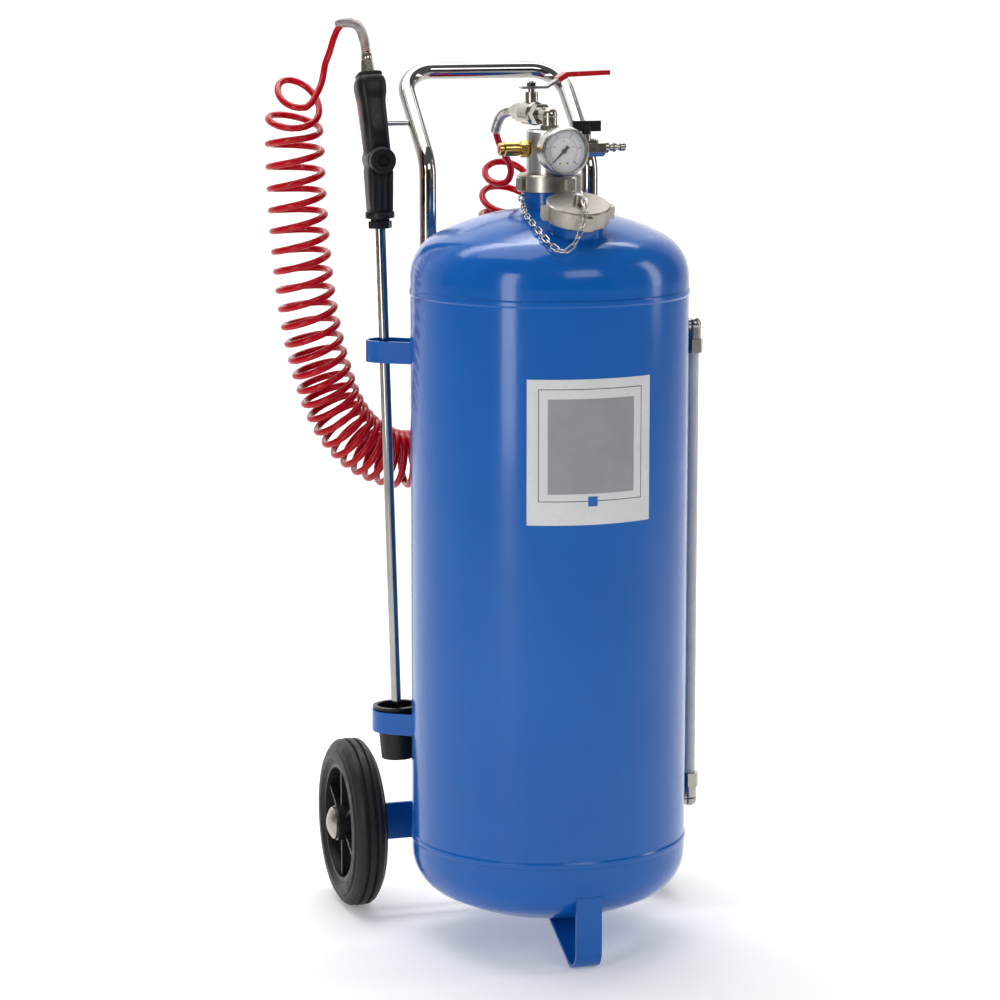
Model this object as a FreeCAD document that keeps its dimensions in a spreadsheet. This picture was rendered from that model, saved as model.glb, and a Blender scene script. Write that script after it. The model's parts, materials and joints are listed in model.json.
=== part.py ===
import FreeCAD, Part

import math
import operator
import os

import Sketcher
from FreeCAD import Placement, Rotation, Vector

# A wheeled pressure sprayer: a welded steel tank on a foot and two wheels, with a push handle, a
# manifold on the centre neck, a filler cap, a level gauge and a spray gun on a spiral hose.
# Heights are above the floor. Local places are measured from the tank's upright axis, front is -Y.

# ---------------------------------------------------------------------------------- driving sizes

SIZES = {
    "tank_y": -67.0,            # tank axis, from the middle of the object's depth
    "tank_radius": 157.5,
    "tank_wall": 3.0,
    "crown_radius": 283.5,      # dished heads, 0.9 of the tank's diameter
    "knuckle_radius": 53.5,
    "lower_seam": 124.5,
    "upper_seam": 753.0,
    "head_flange": 15.5,
    "bead_proud": 1.2,
    "bead_half": 4.0,
    "neck_radius": 31.5,        # centre neck
    "neck_bore": 26.0,
    "neck_bottom": 836.0,
    "neck_top": 874.0,
    "neck_shoulder": 864.0,
    "filler_reach": 95.0,       # where the filler neck leaves the dome
    "filler_tilt": 17.0,
    "filler_radius": 30.0,
    "filler_bore": 26.0,
    "filler_depth": 14.0,
    "filler_rise": 20.0,
    "ring_radius": 36.5,
    "cap_radius": 35.5,
    "lug_rise": 5.5,
    "lug_width": 11.0,
    "thread_gap": 0.3,
    "ring_top": 884.0,
    "flange_radius": 30.8,
    "manifold_radius": 26.3,
    "manifold_top": 933.0,
    "port_height": 912.0,
    "port_bore": 5.0,
    "annulus_radius": 16.0,
    "dip_radius": 8.0,
    "dip_bore": 6.0,
    "dip_bottom": 48.0,
    "outlet_height": 949.0,
    "outlet_turn": 10.0,
    "wheel_radius": 100.0,
    "wheel_back": 192.0,
    "wheel_middle": 184.0,
    "tyre_width": 42.0,
    "tyre_seat": 71.0,
    "axle_radius": 8.0,
    "axle_half": 210.0,
    "bracket_bottom": 84.0,
    "bracket_top": 128.0,
    "bracket_half": 158.0,
    "plate": 5.0,
    "foot_width": 30.0,
    "foot_plate": 4.0,
    "foot_front": 150.0,
    "foot_bend": 20.0,
    "foot_rise": 24.4,          # slope of the rear leg, degrees
    "handle_radius": 10.0,
    "handle_wall": 1.5,
    "leg_side": 98.5,
    "leg_back": 154.0,
    "leg_bottom": 600.0,
    "leg_top": 887.0,
    "bar_back": 270.0,
    "bar_height": 988.0,
    "bar_bend": 38.0,
    "peg_radius": 3.5,
    "peg_length": 44.5,
    "lance_radius": 6.0,
    "lance_bore": 4.5,
    "lance_reach": 187.0,       # lance from the tank axis, at the cup's rim
    "lance_bearing": 144.1,     # direction of the lance from the tank axis
    "lance_lean": 1.7,
    "rim_height": 260.0,
    "gun_start": 557.0,         # along the lance, from the cup's rim
    "strap_height": 25.0,
    "strap_plate": 3.0,
    "loop_half": 21.0,
    "cup_top_radius": 25.0,
    "cup_bottom_radius": 19.0,
    "cup_depth": 63.0,
    "cup_wall": 2.0,
    "grip_lean": 17.0,
    "grip_length": 101.0,
    "swivel_length": 24.0,
    "head_height": 78.0,        # spray gun's valve, above its nut
    "hose_radius": 4.0,
    "coil_radius": 35.0,
    "guard_radius": 6.2,
    "level_reach": 174.0,
    "level_radius": 6.0,
    "level_bore": 4.5,
    "level_top": 708.0,
    "level_bottom": 149.0,
    "running_gap": 0.1,
}

document = FreeCAD.newDocument("pressure_sprayer")
sheet = document.addObject("Spreadsheet::Sheet", "Sheet")
for row, (alias, value) in enumerate(SIZES.items(), start=1):
    sheet.set("A%d" % row, alias)
    sheet.set("B%d" % row, str(value))
    sheet.setAlias("B%d" % row, alias)
document.recompute()


class Size:
    """A length or angle together with the sheet expression that gives it."""

    def __init__(self, value, text):
        self.value = float(value)
        self.text = text

    def __add__(self, other):
        return combined(self, other, "+", operator.add)

    def __radd__(self, other):
        return combined(other, self, "+", operator.add)

    def __sub__(self, other):
        return combined(self, other, "-", operator.sub)

    def __rsub__(self, other):
        return combined(other, self, "-", operator.sub)

    def __mul__(self, other):
        return combined(self, other, "*", operator.mul)

    def __rmul__(self, other):
        return combined(other, self, "*", operator.mul)

    def __truediv__(self, other):
        return combined(self, other, "/", operator.truediv)

    def __neg__(self):
        return combined(-1, self, "*", operator.mul)


def sized(item):
    return item if isinstance(item, Size) else Size(item, repr(float(item)))


def combined(first, second, symbol, action):
    first = sized(first)
    second = sized(second)
    text = "(%s %s %s)" % (first.text, symbol, second.text)
    return Size(action(first.value, second.value), text)


def root(item):
    return Size(math.sqrt(item.value), "sqrt(%s)" % item.text)


class Sheet:
    """Each driving size under its own name, such as size.tank_radius."""

    def __getattr__(self, alias):
        return Size(SIZES[alias], "Sheet." + alias)


size = Sheet()

# -------------------------------------------------------------------------------- building blocks

NODES = {}


def node(item, name):
    """Keep a finished sub-part under its own name, which is also its file's name."""
    item.Label = name
    NODES[name] = item
    return item


def bind(item, path, amount):
    """Give a property its sheet expression, or its plain value where nothing drives it."""
    amount = sized(amount)
    if "Sheet." in amount.text:
        item.setExpression(path, amount.text)
    else:
        setattr(item, path, amount.value)


def placed(item, x=0, y=0, z=0, turn=None):
    """Stand an item at a place measured from the tank's axis and the floor."""
    x, y, z = sized(x), sized(y) + size.tank_y, sized(z)
    item.Placement = Placement(Vector(x.value, y.value, z.value), turn or Rotation())
    for axis, amount in (("x", x), ("y", y), ("z", z)):
        if "Sheet." in amount.text:
            item.setExpression("Placement.Base." + axis, amount.text)
    return item


def in_frame(item, frame, x=0, y=0, z=0, turn=None):
    """Stand an item in a tilted frame, such as the lance's."""
    spot = Vector(sized(x).value, sized(y).value, sized(z).value)
    item.Placement = frame.multiply(Placement(spot, turn or Rotation()))
    return item


def new_sketch(body, role, lift=0):
    sketch = body.newObject("Sketcher::SketchObject", body.Name + "_sketch")
    plane = [feature for feature in body.Origin.OriginFeatures if feature.Role == role][0]
    sketch.AttachmentSupport = (plane, [""])
    sketch.MapMode = "FlatFace"
    sketch.AttachmentOffset = Placement(Vector(0, 0, sized(lift).value), Rotation())
    return sketch


def constrain(sketch, kind, places, amount, name):
    """Add one dimension to a sketch, driven by the sheet where the sheet gives it."""
    amount = sized(amount)
    if kind in ("DistanceX", "DistanceY") and abs(amount.value) < 1e-9:
        axis = -2 if kind == "DistanceX" else -1
        sketch.addConstraint(Sketcher.Constraint("PointOnObject", places[2], places[3], axis))
        return
    index = sketch.addConstraint(Sketcher.Constraint(kind, *places, amount.value))
    sketch.renameConstraint(index, name)
    if "Sheet." in amount.text:
        sketch.setExpression("Constraints." + name, amount.text)


def arc_between(start, end, radius):
    """A short arc of a circle; a positive radius turns left on the way, a negative one right."""
    chord = end - start
    left = Vector(-chord.y, chord.x, 0).normalize()
    rise = math.sqrt(max(radius ** 2 - (chord.Length / 2) ** 2, 0))
    centre = (start + end) / 2 + left * math.copysign(rise, radius)
    first, last = (start, end) if radius > 0 else (end, start)
    spoke_a, spoke_b = first - centre, last - centre
    circle = Part.Circle(centre, Vector(0, 0, 1), abs(radius))
    begin = math.atan2(spoke_a.y, spoke_a.x)
    finish = math.atan2(spoke_b.y, spoke_b.x)
    return Part.ArcOfCircle(circle, begin, finish if finish > begin else finish + 2 * math.pi)


def outline(sketch, corners):
    """Draw a closed outline; a corner with a third entry starts an arc of that radius."""
    points = [Vector(sized(c[0]).value, sized(c[1]).value, 0) for c in corners]
    ends = []
    for index, corner in enumerate(corners):
        start = points[index]
        end = points[(index + 1) % len(points)]
        if len(corner) == 3:
            radius = sized(corner[2])
            edge = sketch.addGeometry(arc_between(start, end, radius.value), False)
            ends.append((edge, 1, 2) if radius.value > 0 else (edge, 2, 1))
        else:
            edge = sketch.addGeometry(Part.LineSegment(start, end), False)
            ends.append((edge, 1, 2))
    for index, (edge, start, end) in enumerate(ends):
        following = ends[(index + 1) % len(ends)]
        sketch.addConstraint(
            Sketcher.Constraint("Coincident", edge, end, following[0], following[1]))
    for index, corner in enumerate(corners):
        edge, start, end = ends[index]
        name = "edge%d_corner" % edge
        constrain(sketch, "DistanceX", (-1, 1, edge, start), corner[0], name + "_across")
        constrain(sketch, "DistanceY", (-1, 1, edge, start), corner[1], name + "_along")
        if len(corner) == 3:
            radius = sized(corner[2])
            positive = radius if radius.value > 0 else -radius
            constrain(sketch, "Radius", (edge,), positive, name + "_radius")


def round_hole(sketch, x, y, radius):
    centre = Vector(sized(x).value, sized(y).value, 0)
    circle = Part.Circle(centre, Vector(0, 0, 1), sized(radius).value)
    edge = sketch.addGeometry(circle, False)
    name = "hole%d" % edge
    constrain(sketch, "DistanceX", (-1, 1, edge, 3), x, name + "_across")
    constrain(sketch, "DistanceY", (-1, 1, edge, 3), y, name + "_along")
    constrain(sketch, "Radius", (edge,), radius, name + "_radius")


def new_body(name):
    return document.addObject("PartDesign::Body", name + "_body")


def revolve(body, corners):
    """Turn an outline of (radius, height) corners round the body's own Z axis."""
    sketch = new_sketch(body, "XZ_Plane")
    outline(sketch, corners)
    feature = body.newObject("PartDesign::Revolution", body.Name + "_turned")
    feature.Profile = sketch
    feature.ReferenceAxis = (sketch, ["V_Axis"])
    feature.Angle = 360
    return feature


def turned(name, corners):
    body = new_body(name)
    revolve(body, corners)
    return body


def tube(name, bore, radius, bottom, top, ease=0):
    """A plain ring or pipe about Z, with its outer edges eased by a small bevel."""
    if sized(ease).value == 0:
        corners = [(bore, bottom), (radius, bottom), (radius, top), (bore, top)]
    else:
        corners = [(bore, bottom), (radius - ease, bottom), (radius, bottom + ease),
                   (radius, top - ease), (radius - ease, top), (bore, top)]
    return turned(name, corners)


def extrude(body, role, corners, depth, lift=0, middle=False, holes=()):
    """Pad an outline drawn on one of the body's origin planes, with round holes in it."""
    sketch = new_sketch(body, role, lift)
    outline(sketch, corners)
    for hole in holes:
        round_hole(sketch, *hole)
    feature = body.newObject("PartDesign::Pad", body.Name + "_pad")
    feature.Profile = sketch
    bind(feature, "Length", depth)
    if middle:
        feature.Midplane = True
    return feature


def prism(name, role, corners, depth, lift=0, middle=False, holes=()):
    body = new_body(name)
    extrude(body, role, corners, depth, lift, middle, holes)
    return body


def hexagon(across):
    """Corners of a hexagon of the given width across its flats."""
    reach = sized(across) / math.sqrt(3)
    return [(reach * math.cos(math.radians(60 * step)), reach * math.sin(math.radians(60 * step)))
            for step in range(6)]


def hex_nut(name, across, depth, bore, lift=0):
    return prism(name, "XY_Plane", hexagon(across), depth, lift, holes=[(0, 0, bore)])


def rectangle(low_x, low_y, high_x, high_y):
    return [(low_x, low_y), (high_x, low_y), (high_x, high_y), (low_x, high_y)]


def cut(name, base, *tools):
    for tool in tools:
        result = document.addObject("Part::Cut", name + "_cut")
        result.Base = base
        result.Tool = tool
        base = result
    return base


def fused(name, *parts):
    result = document.addObject("Part::MultiFuse", name + "_joined")
    result.Shapes = list(parts)
    return result


def together(name, *parts):
    """Several separate solids of one kind, kept in one node."""
    result = document.addObject("Part::Compound", name + "_set")
    result.Links = list(parts)
    return result


def rod(name, radius, length):
    item = document.addObject("Part::Cylinder", name + "_rod")
    bind(item, "Radius", radius)
    bind(item, "Height", length)
    return item


def ball(name, radius):
    item = document.addObject("Part::Sphere", name + "_ball")
    bind(item, "Radius", radius)
    return item


def bent_line(points, radii):
    """Straight runs through the points, joined by tangent arcs of the given radii."""
    edges = []
    previous = points[0]
    for index in range(1, len(points) - 1):
        corner = points[index]
        back = (points[index - 1] - corner).normalize()
        ahead = (points[index + 1] - corner).normalize()
        half_turn = (math.pi - back.getAngle(ahead)) / 2
        reach = radii[index - 1] * math.tan(half_turn)
        start = corner + back * reach
        end = corner + ahead * reach
        inward = (back + ahead).normalize()
        depth = radii[index - 1] * (1 / math.cos(half_turn) - 1)
        edges.append(Part.LineSegment(previous, start).toShape())
        edges.append(Part.Arc(start, corner + inward * depth, end).toShape())
        previous = end
    edges.append(Part.LineSegment(previous, points[-1]).toShape())
    return Part.Wire(edges)


def easy_radii(points):
    """The largest arc that each corner's two runs leave room for."""
    radii = []
    for index in range(1, len(points) - 1):
        back = points[index - 1] - points[index]
        ahead = points[index + 1] - points[index]
        half_turn = (math.pi - back.getAngle(ahead)) / 2
        radii.append(0.45 * min(back.Length, ahead.Length) / math.tan(half_turn))
    return radii


def swept(name, wire, radius):
    """A round bar along a wire."""
    path = document.addObject("Part::Feature", name + "_path")
    path.Shape = wire
    section = document.addObject("Part::Circle", name + "_section")
    bind(section, "Radius", radius)
    start = wire.OrderedEdges[0]
    section.Placement = Placement(
        start.valueAt(start.FirstParameter),
        Rotation(Vector(0, 0, 1), start.tangentAt(start.FirstParameter)))
    bar = document.addObject("Part::Sweep", name + "_sweep")
    bar.Sections = [section]
    bar.Spine = (path, ["Edge%d" % (edge + 1) for edge in range(len(wire.Edges))])
    bar.Solid = True
    bar.Frenet = False
    return bar


def spring(name, radius, wire, length, turns):
    """A compression spring about Z."""
    coil = document.addObject("Part::Helix", name + "_coil")
    coil.Radius = radius
    coil.Pitch = length / turns
    coil.Height = length
    section = document.addObject("Part::Circle", name + "_wire")
    section.Radius = wire
    section.Placement = Placement(Vector(radius, 0, 0), Rotation(Vector(1, 0, 0), 90))
    bar = document.addObject("Part::Sweep", name + "_sweep")
    bar.Sections = [section]
    bar.Spine = (coil, ["Edge1"])
    bar.Solid = True
    bar.Frenet = True
    return bar


# ------------------------------------------------------------------------------------- tilted frames

ABOUT_X = Vector(1, 0, 0)
ABOUT_Y = Vector(0, 1, 0)
ABOUT_Z = Vector(0, 0, 1)


def spot(x, y, z):
    """A point measured from the tank's axis, in the object's own frame."""
    return Vector(x, y + SIZES["tank_y"], z)


def crown_height(reach):
    """Height of the top dome's outside at a distance from the axis."""
    apex = dome_apex().value
    crown = SIZES["crown_radius"]
    return apex - crown + math.sqrt(crown ** 2 - reach ** 2)


def knuckle_share():
    """How far round the crown the knuckle takes over, as the sine of the angle."""
    inner = size.tank_radius - size.knuckle_radius
    return inner / (size.crown_radius - size.knuckle_radius)


def dish_depth():
    share = knuckle_share()
    fall = (size.crown_radius - size.knuckle_radius) * root(1 - share * share)
    return size.crown_radius - fall


def dome_apex():
    return size.upper_seam + size.head_flange + dish_depth()


def filler_frame():
    reach = SIZES["filler_reach"]
    return Placement(spot(0, -reach, crown_height(reach)), Rotation(ABOUT_X, SIZES["filler_tilt"]))


def lance_direction():
    bearing = math.radians(SIZES["lance_bearing"])
    lean = math.radians(SIZES["lance_lean"])
    return Vector(math.cos(bearing) * math.sin(lean), math.sin(bearing) * math.sin(lean),
                  math.cos(lean))


def lance_frame(along=0):
    """Z runs up the lance from the cup's rim; Y stays near the object's +Y."""
    bearing = math.radians(SIZES["lance_bearing"])
    reach = SIZES["lance_reach"]
    foot = spot(reach * math.cos(bearing), reach * math.sin(bearing), SIZES["rim_height"])
    direction = lance_direction()
    return Placement(foot + direction * along, Rotation(ABOUT_Z, direction))


def gun_frame():
    return lance_frame(SIZES["gun_start"])


def grip_frame():
    """Z runs up the spray gun's grip from the middle of its valve."""
    return gun_frame().multiply(
        Placement(Vector(0, 0, SIZES["head_height"]), Rotation(ABOUT_X, -SIZES["grip_lean"])))


def port_frame(turn):
    return Placement(spot(0, 0, SIZES["port_height"]), turn)


TO_FRONT = Rotation(ABOUT_X, 90)      # local Z to -Y
TO_LEFT = Rotation(ABOUT_Y, -90)      # local Z to -X
TO_RIGHT = Rotation(ABOUT_Y, 90)      # local Z to +X
TO_BACK = Rotation(ABOUT_X, -90)      # local Z to +Y


def outlet_frame():
    """Z runs along the outlet valve's flow, and -Y points straight up."""
    turn = Rotation(ABOUT_Z, SIZES["outlet_turn"]).multiply(TO_BACK)
    return Placement(spot(0, 0, SIZES["outlet_height"]), turn)


# --------------------------------------------------------------------------------------------- tank


def head_outline(seam, up):
    """Half section of a dished head; up is 1 for the top head and -1 for the bottom one."""
    wall = size.tank_wall
    share = knuckle_share()
    fall = root(1 - share * share)
    tangent = seam + size.head_flange * up
    centre = tangent + (dish_depth() - size.crown_radius) * up
    outer_x = size.crown_radius * share
    outer_z = centre + size.crown_radius * fall * up
    inner_x = (size.crown_radius - wall) * share
    inner_z = centre + (size.crown_radius - wall) * fall * up
    apex = tangent + dish_depth() * up
    return [
        (size.tank_radius - wall, seam),
        (size.tank_radius, seam),
        (size.tank_radius, tangent, size.knuckle_radius * up),
        (outer_x, outer_z, size.crown_radius * up),
        (0, apex),
        (0, apex - wall * up, (wall - size.crown_radius) * up),
        (inner_x, inner_z, (wall - size.knuckle_radius) * up),
        (size.tank_radius - wall, tangent),
    ]


def tank_envelope(name):
    """The tank's outside as one solid, used to trim what is welded to it."""
    lower = head_outline(size.lower_seam, -1)[2:5]
    upper = head_outline(size.upper_seam, 1)[2:5]
    corners = list(upper)
    corners += [(0, lower[2][1], size.crown_radius)]
    corners += [(lower[1][0], lower[1][1], size.knuckle_radius)]
    corners += [(size.tank_radius, size.lower_seam - size.head_flange)]
    return placed(turned(name + "_envelope", corners))


def bead_envelope(name):
    """The ring that the lower weld bead fills, used to trim what crosses it."""
    return placed(tube(name + "_bead", size.tank_radius - 1, size.tank_radius + size.bead_proud,
                       size.lower_seam - size.bead_half, size.lower_seam + size.bead_half))


def weld_bead(name, seam):
    radius = size.tank_radius
    half = size.bead_half
    proud = size.bead_proud
    corners = [(radius, seam - half), (radius + proud, seam - half / 2),
               (radius + proud, seam + half / 2), (radius, seam + half)]
    return placed(turned(name, corners))


def filler_hole(name):
    drill = rod(name + "_filler_drill", size.filler_radius, 80)
    return in_frame(drill, filler_frame(), z=-40)


def tank():
    shell = placed(tube("tank_shell", size.tank_radius - size.tank_wall, size.tank_radius,
                        size.lower_seam, size.upper_seam))
    drills = []
    for height in (size.level_top, size.level_bottom):
        drill = rod("level_drill", 6.5, 20)
        drills.append(placed(drill, size.tank_radius - 12, 0, height, TO_RIGHT))
    beads = [weld_bead("lower_bead", size.lower_seam), weld_bead("upper_bead", size.upper_seam)]
    node(fused("tank_shell", cut("tank_shell", shell, *drills), *beads), "tank_shell")

    node(placed(turned("bottom_head", head_outline(size.lower_seam, -1))), "bottom_head")
    dome = placed(turned("top_head_blank", head_outline(size.upper_seam, 1)))
    neck_drill = placed(rod("neck_drill", size.neck_radius, 60), 0, 0, 820)
    node(cut("top_head", dome, neck_drill, filler_hole("top_head")), "top_head")


def necks():
    radius = size.neck_radius
    corners = [(size.neck_bore, size.neck_bottom), (radius, size.neck_bottom),
               (radius, size.neck_top - 1.5), (radius - 1.5, size.neck_top),
               (size.neck_bore, size.neck_top)]
    node(placed(turned("centre_neck", corners)), "centre_neck")

    corners = [(size.filler_bore, -size.filler_depth), (size.filler_radius, -size.filler_depth),
               (size.filler_radius, size.filler_rise - 1.5),
               (size.filler_radius - 1.5, size.filler_rise),
               (size.filler_bore, size.filler_rise)]
    node(in_frame(turned("filler_neck", corners), filler_frame()), "filler_neck")


# -------------------------------------------------------------------------------- foot and wheels


def foot():
    """A flat bar bent to a rounded V under the front of the tank, trimmed to the bottom head."""
    half = size.foot_plate / 2
    bend = size.foot_bend
    front = -size.foot_front
    slope = math.radians(SIZES["foot_rise"])
    centre_y = front + bend
    centre_z = bend + half
    inner, outer = bend - half, bend + half
    along = Vector(math.cos(slope), math.sin(slope), 0)
    reach = 105
    corners = [
        (front - half, 110),
        (front - half, centre_z, outer),
        (centre_y + outer * math.sin(slope), centre_z - outer * math.cos(slope)),
        (centre_y + outer * math.sin(slope) + reach * along.x,
         centre_z - outer * math.cos(slope) + reach * along.y),
        (centre_y + inner * math.sin(slope) + reach * along.x,
         centre_z - inner * math.cos(slope) + reach * along.y),
        (centre_y + inner * math.sin(slope), centre_z - inner * math.cos(slope), -inner),
        (front + half, centre_z),
        (front + half, 110),
    ]
    bar = placed(prism("foot", "YZ_Plane", corners, size.foot_width, middle=True))
    node(cut("foot", bar, tank_envelope("foot")), "front_foot")


def axle_bracket():
    """A channel behind the tank: a plate welded to it and two ears that hold the axle."""
    half = size.bracket_half
    front = 150
    face = size.tank_radius + 3.5
    ear_end = size.wheel_back + 20
    plate = size.plate
    corners = [(-half, front), (half, front), (half, ear_end), (half - plate, ear_end),
               (half - plate, face + 2), (-half + plate, face + 2), (-half + plate, ear_end),
               (-half, ear_end)]
    channel = placed(prism("axle_bracket", "XY_Plane", corners,
                           size.bracket_top - size.bracket_bottom), 0, 0, size.bracket_bottom)
    bore = placed(rod("axle_drill", size.axle_radius, 2 * half + 20),
                  -half - 10, size.wheel_back, size.wheel_radius, TO_RIGHT)
    relief = placed(prism("bracket_front", "XY_Plane",
                          rectangle(-half - 1, front - 1, half + 1, face - 3), 60), 0, 0, 70)
    seat = placed(prism("bracket_seat", "XY_Plane",
                        rectangle(-42, front - 0.5, 42, face - 2.9), 46), 0, 0, 83)
    rest = cut("bracket_relief", relief, seat)
    node(cut("axle_bracket", channel, bore, rest, tank_envelope("bracket"),
             bead_envelope("bracket")), "axle_bracket")
    shaft = placed(tube("axle", 0, size.axle_radius, -size.axle_half, size.axle_half, 1),
                   0, size.wheel_back, size.wheel_radius, TO_RIGHT)
    washers = []
    for side, turn in ((-1, TO_LEFT), (1, TO_RIGHT)):
        washer = tube("axle_washer", size.axle_radius, 15, 0, 4.8, 0.3)
        washers.append(placed(washer, (size.bracket_half + 0.1) * side, size.wheel_back,
                              size.wheel_radius, turn))
    node(together("axle", shaft, *washers), "axle")


def tyre(name):
    """Rubber tyre about Z: a crowned tread with two rain grooves and stepped sidewalls."""
    half = size.tyre_width / 2
    radius = size.wheel_radius
    seat = size.tyre_seat
    corners = [(seat, -half + 4), (seat + 6, -half), (seat + 16, -half + 0.6),
               (seat + 17, -half + 2.6), (radius - 8, -half + 3.4), (radius - 3, -half + 7),
               (radius - 0.5, -half + 11), (radius - 0.5, -7), (radius - 3.5, -6),
               (radius - 3.5, -4), (radius, -3), (radius, 3), (radius - 3.5, 4),
               (radius - 3.5, 6), (radius - 0.5, 7), (radius - 0.5, half - 11),
               (radius - 3, half - 7), (radius - 8, half - 3.4), (seat + 17, half - 2.6),
               (seat + 16, half - 0.6), (seat + 6, half), (seat, half - 4)]
    return turned(name, corners)


def rim(name):
    """Moulded rim about Z: barrel, web and hub, with ribs on the outer side."""
    half = size.tyre_width / 2
    seat = size.tyre_seat
    hub = 21
    bore = size.axle_radius + size.running_gap
    body = new_body(name)
    revolve(body, [(bore, -half), (hub, -half), (hub + 1, -4), (seat - 7, -4), (seat - 5, 4 - half),
                   (seat, 4 - half), (seat, half - 4), (seat - 5, half - 4), (seat - 7, 4),
                   (hub + 1, 4), (hub, half), (bore, half)])
    rib = extrude(body, "XZ_Plane", rectangle(hub - 1, 3, seat - 6, half - 7), 4, middle=True)
    pattern = body.newObject("PartDesign::PolarPattern", name + "_ribs")
    pattern.Originals = [rib]
    spin = [feature for feature in body.Origin.OriginFeatures if feature.Role == "Z_Axis"][0]
    pattern.Axis = (spin, [""])
    pattern.Angle = 360
    pattern.Occurrences = 6
    body.Tip = pattern
    return body


def hub_cap(name):
    """Domed push-on cap about Z, pressed on the end of the axle."""
    radius = 19
    bottom = 0.3
    rise = 7.0
    skin = 1.2
    outer = dome_radius(radius, rise)
    inner = dome_radius(radius - skin, rise)
    corners = [(size.axle_radius, bottom), (radius, bottom), (radius, bottom + 3.5, outer),
               (0, bottom + 3.5 + rise), (0, bottom + 2.3 + rise, -inner),
               (radius - skin, bottom + 2.3), (radius - skin, bottom + skin),
               (size.axle_radius, bottom + skin)]
    return turned(name, corners)


def dome_radius(reach, rise):
    """Radius of the ball that a dome of this reach and rise is cut from."""
    return (sized(reach) * reach + sized(rise) * rise) / (2 * sized(rise))


def wheels():
    caps = []
    for side, word, turn in ((-1, "left", TO_LEFT), (1, "right", TO_RIGHT)):
        middle = size.wheel_middle * side
        face = (size.wheel_middle + size.tyre_width / 2) * side
        height = size.wheel_radius
        node(placed(tyre(word + "_tyre"), middle, size.wheel_back, height, turn), word + "_tyre")
        node(placed(rim(word + "_rim"), middle, size.wheel_back, height, turn), word + "_rim")
        caps.append(placed(hub_cap(word + "_cap"), face, size.wheel_back, height, turn))
    node(together("hub_caps", *caps), "hub_caps")


# ------------------------------------------------------------------------------------------- handle


def handle():
    side, back = SIZES["leg_side"], SIZES["leg_back"]
    bar_back, bar_height = SIZES["bar_back"], SIZES["bar_height"]
    corners = [spot(-side, back, SIZES["leg_bottom"]), spot(-side, back, SIZES["leg_top"]),
               spot(-side, bar_back, bar_height), spot(side, bar_back, bar_height),
               spot(side, back, SIZES["leg_top"]), spot(side, back, SIZES["leg_bottom"])]
    bend = SIZES["bar_bend"]
    wire = bent_line(corners, [bend] * 4)
    outer = swept("handle", wire, size.handle_radius)
    inner = swept("handle_bore", wire, size.handle_radius - size.handle_wall)
    hollow = cut("handle", outer, inner)

    height = SIZES["leg_top"] + 44
    peg_y = back + 44 * (bar_back - back) / (bar_height - SIZES["leg_top"])
    peg = tube("handle_peg", 0, size.peg_radius, size.handle_radius - 1,
               size.handle_radius + size.peg_length, 0.6)
    placed(peg, -size.leg_side, peg_y, height, TO_LEFT)
    peg_end = cut("handle_peg", peg, swept("peg_trim", wire, size.handle_radius - 0.5))
    node(fused("push_handle", hollow, peg_end), "push_handle")


def handle_clips():
    """Four flat lugs welded to the shell, each with a hole for one handle leg."""
    back = SIZES["leg_back"]
    clips = []
    for height in (SIZES["leg_bottom"] + 20, SIZES["upper_seam"] - 18):
        for lean in (-1, 1):
            low_x = lean * size.leg_side - 13
            clip = prism("clip", "XY_Plane", rectangle(low_x, 95, low_x + 26, back + 17), 6)
            placed(clip, 0, 0, height)
            drill = placed(rod("clip_drill", size.handle_radius, 20), lean * size.leg_side, back,
                           height - 5)
            clips.append(cut("clip", clip, drill, tank_envelope("clip")))
    return clips


# -------------------------------------------------------------------------------- lance and its rests


def strap_loop(name, low, reach, half):
    """A flat strap bent to a U round the lance, its two ends welded to the shell."""
    plate = size.strap_plate
    start = 140
    inner = half
    outer = half + plate
    centre = reach - outer
    corners = [(start, -outer), (centre, -outer, outer), (reach, 0, outer), (centre, outer),
               (start, outer), (start, inner), (centre, inner, -inner), (reach - plate, 0, -inner),
               (centre, -inner), (start, -inner)]
    loop = prism(name, "XY_Plane", corners, size.strap_height)
    placed(loop, 0, 0, low, Rotation(ABOUT_Z, SIZES["lance_bearing"]))
    return cut(name, loop, tank_envelope(name))


def lance_rests():
    straps = [strap_loop("lance_bracket", 664, 221, size.loop_half - 2),
              strap_loop("cup_bracket", 230, 215.5, size.loop_half + 4.2)]
    node(together("tank_brackets", *straps, *handle_clips()), "tank_brackets")
    wall = size.cup_wall
    rim_lip = 2.5
    lower = -size.cup_depth
    corners = [(0, lower), (size.cup_bottom_radius, lower), (size.cup_top_radius - 1, -3.4),
               (size.cup_top_radius + rim_lip, -3), (size.cup_top_radius + rim_lip, 0),
               (size.cup_top_radius - 1 - wall, 0), (size.cup_bottom_radius - wall, lower + wall),
               (0, lower + wall)]
    node(in_frame(turned("lance_cup", corners), lance_frame()), "lance_cup")


def lance():
    node(in_frame(tube("lance_tube", size.lance_bore, size.lance_radius, -40,
                       size.gun_start + 30), lance_frame()), "lance_tube")
    corners = [(size.lance_radius, -22), (size.lance_radius, -40.2), (1.2, -40.2), (1.2, -56),
               (4, -56), (7, -52), (9, -50), (9, -26), (8, -22)]
    node(in_frame(turned("lance_nozzle", corners), lance_frame()), "lance_nozzle")
    nut = hex_nut("lance_nut", 24, 8, size.lance_radius)
    node(in_frame(nut, gun_frame()), "lance_nut")


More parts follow.
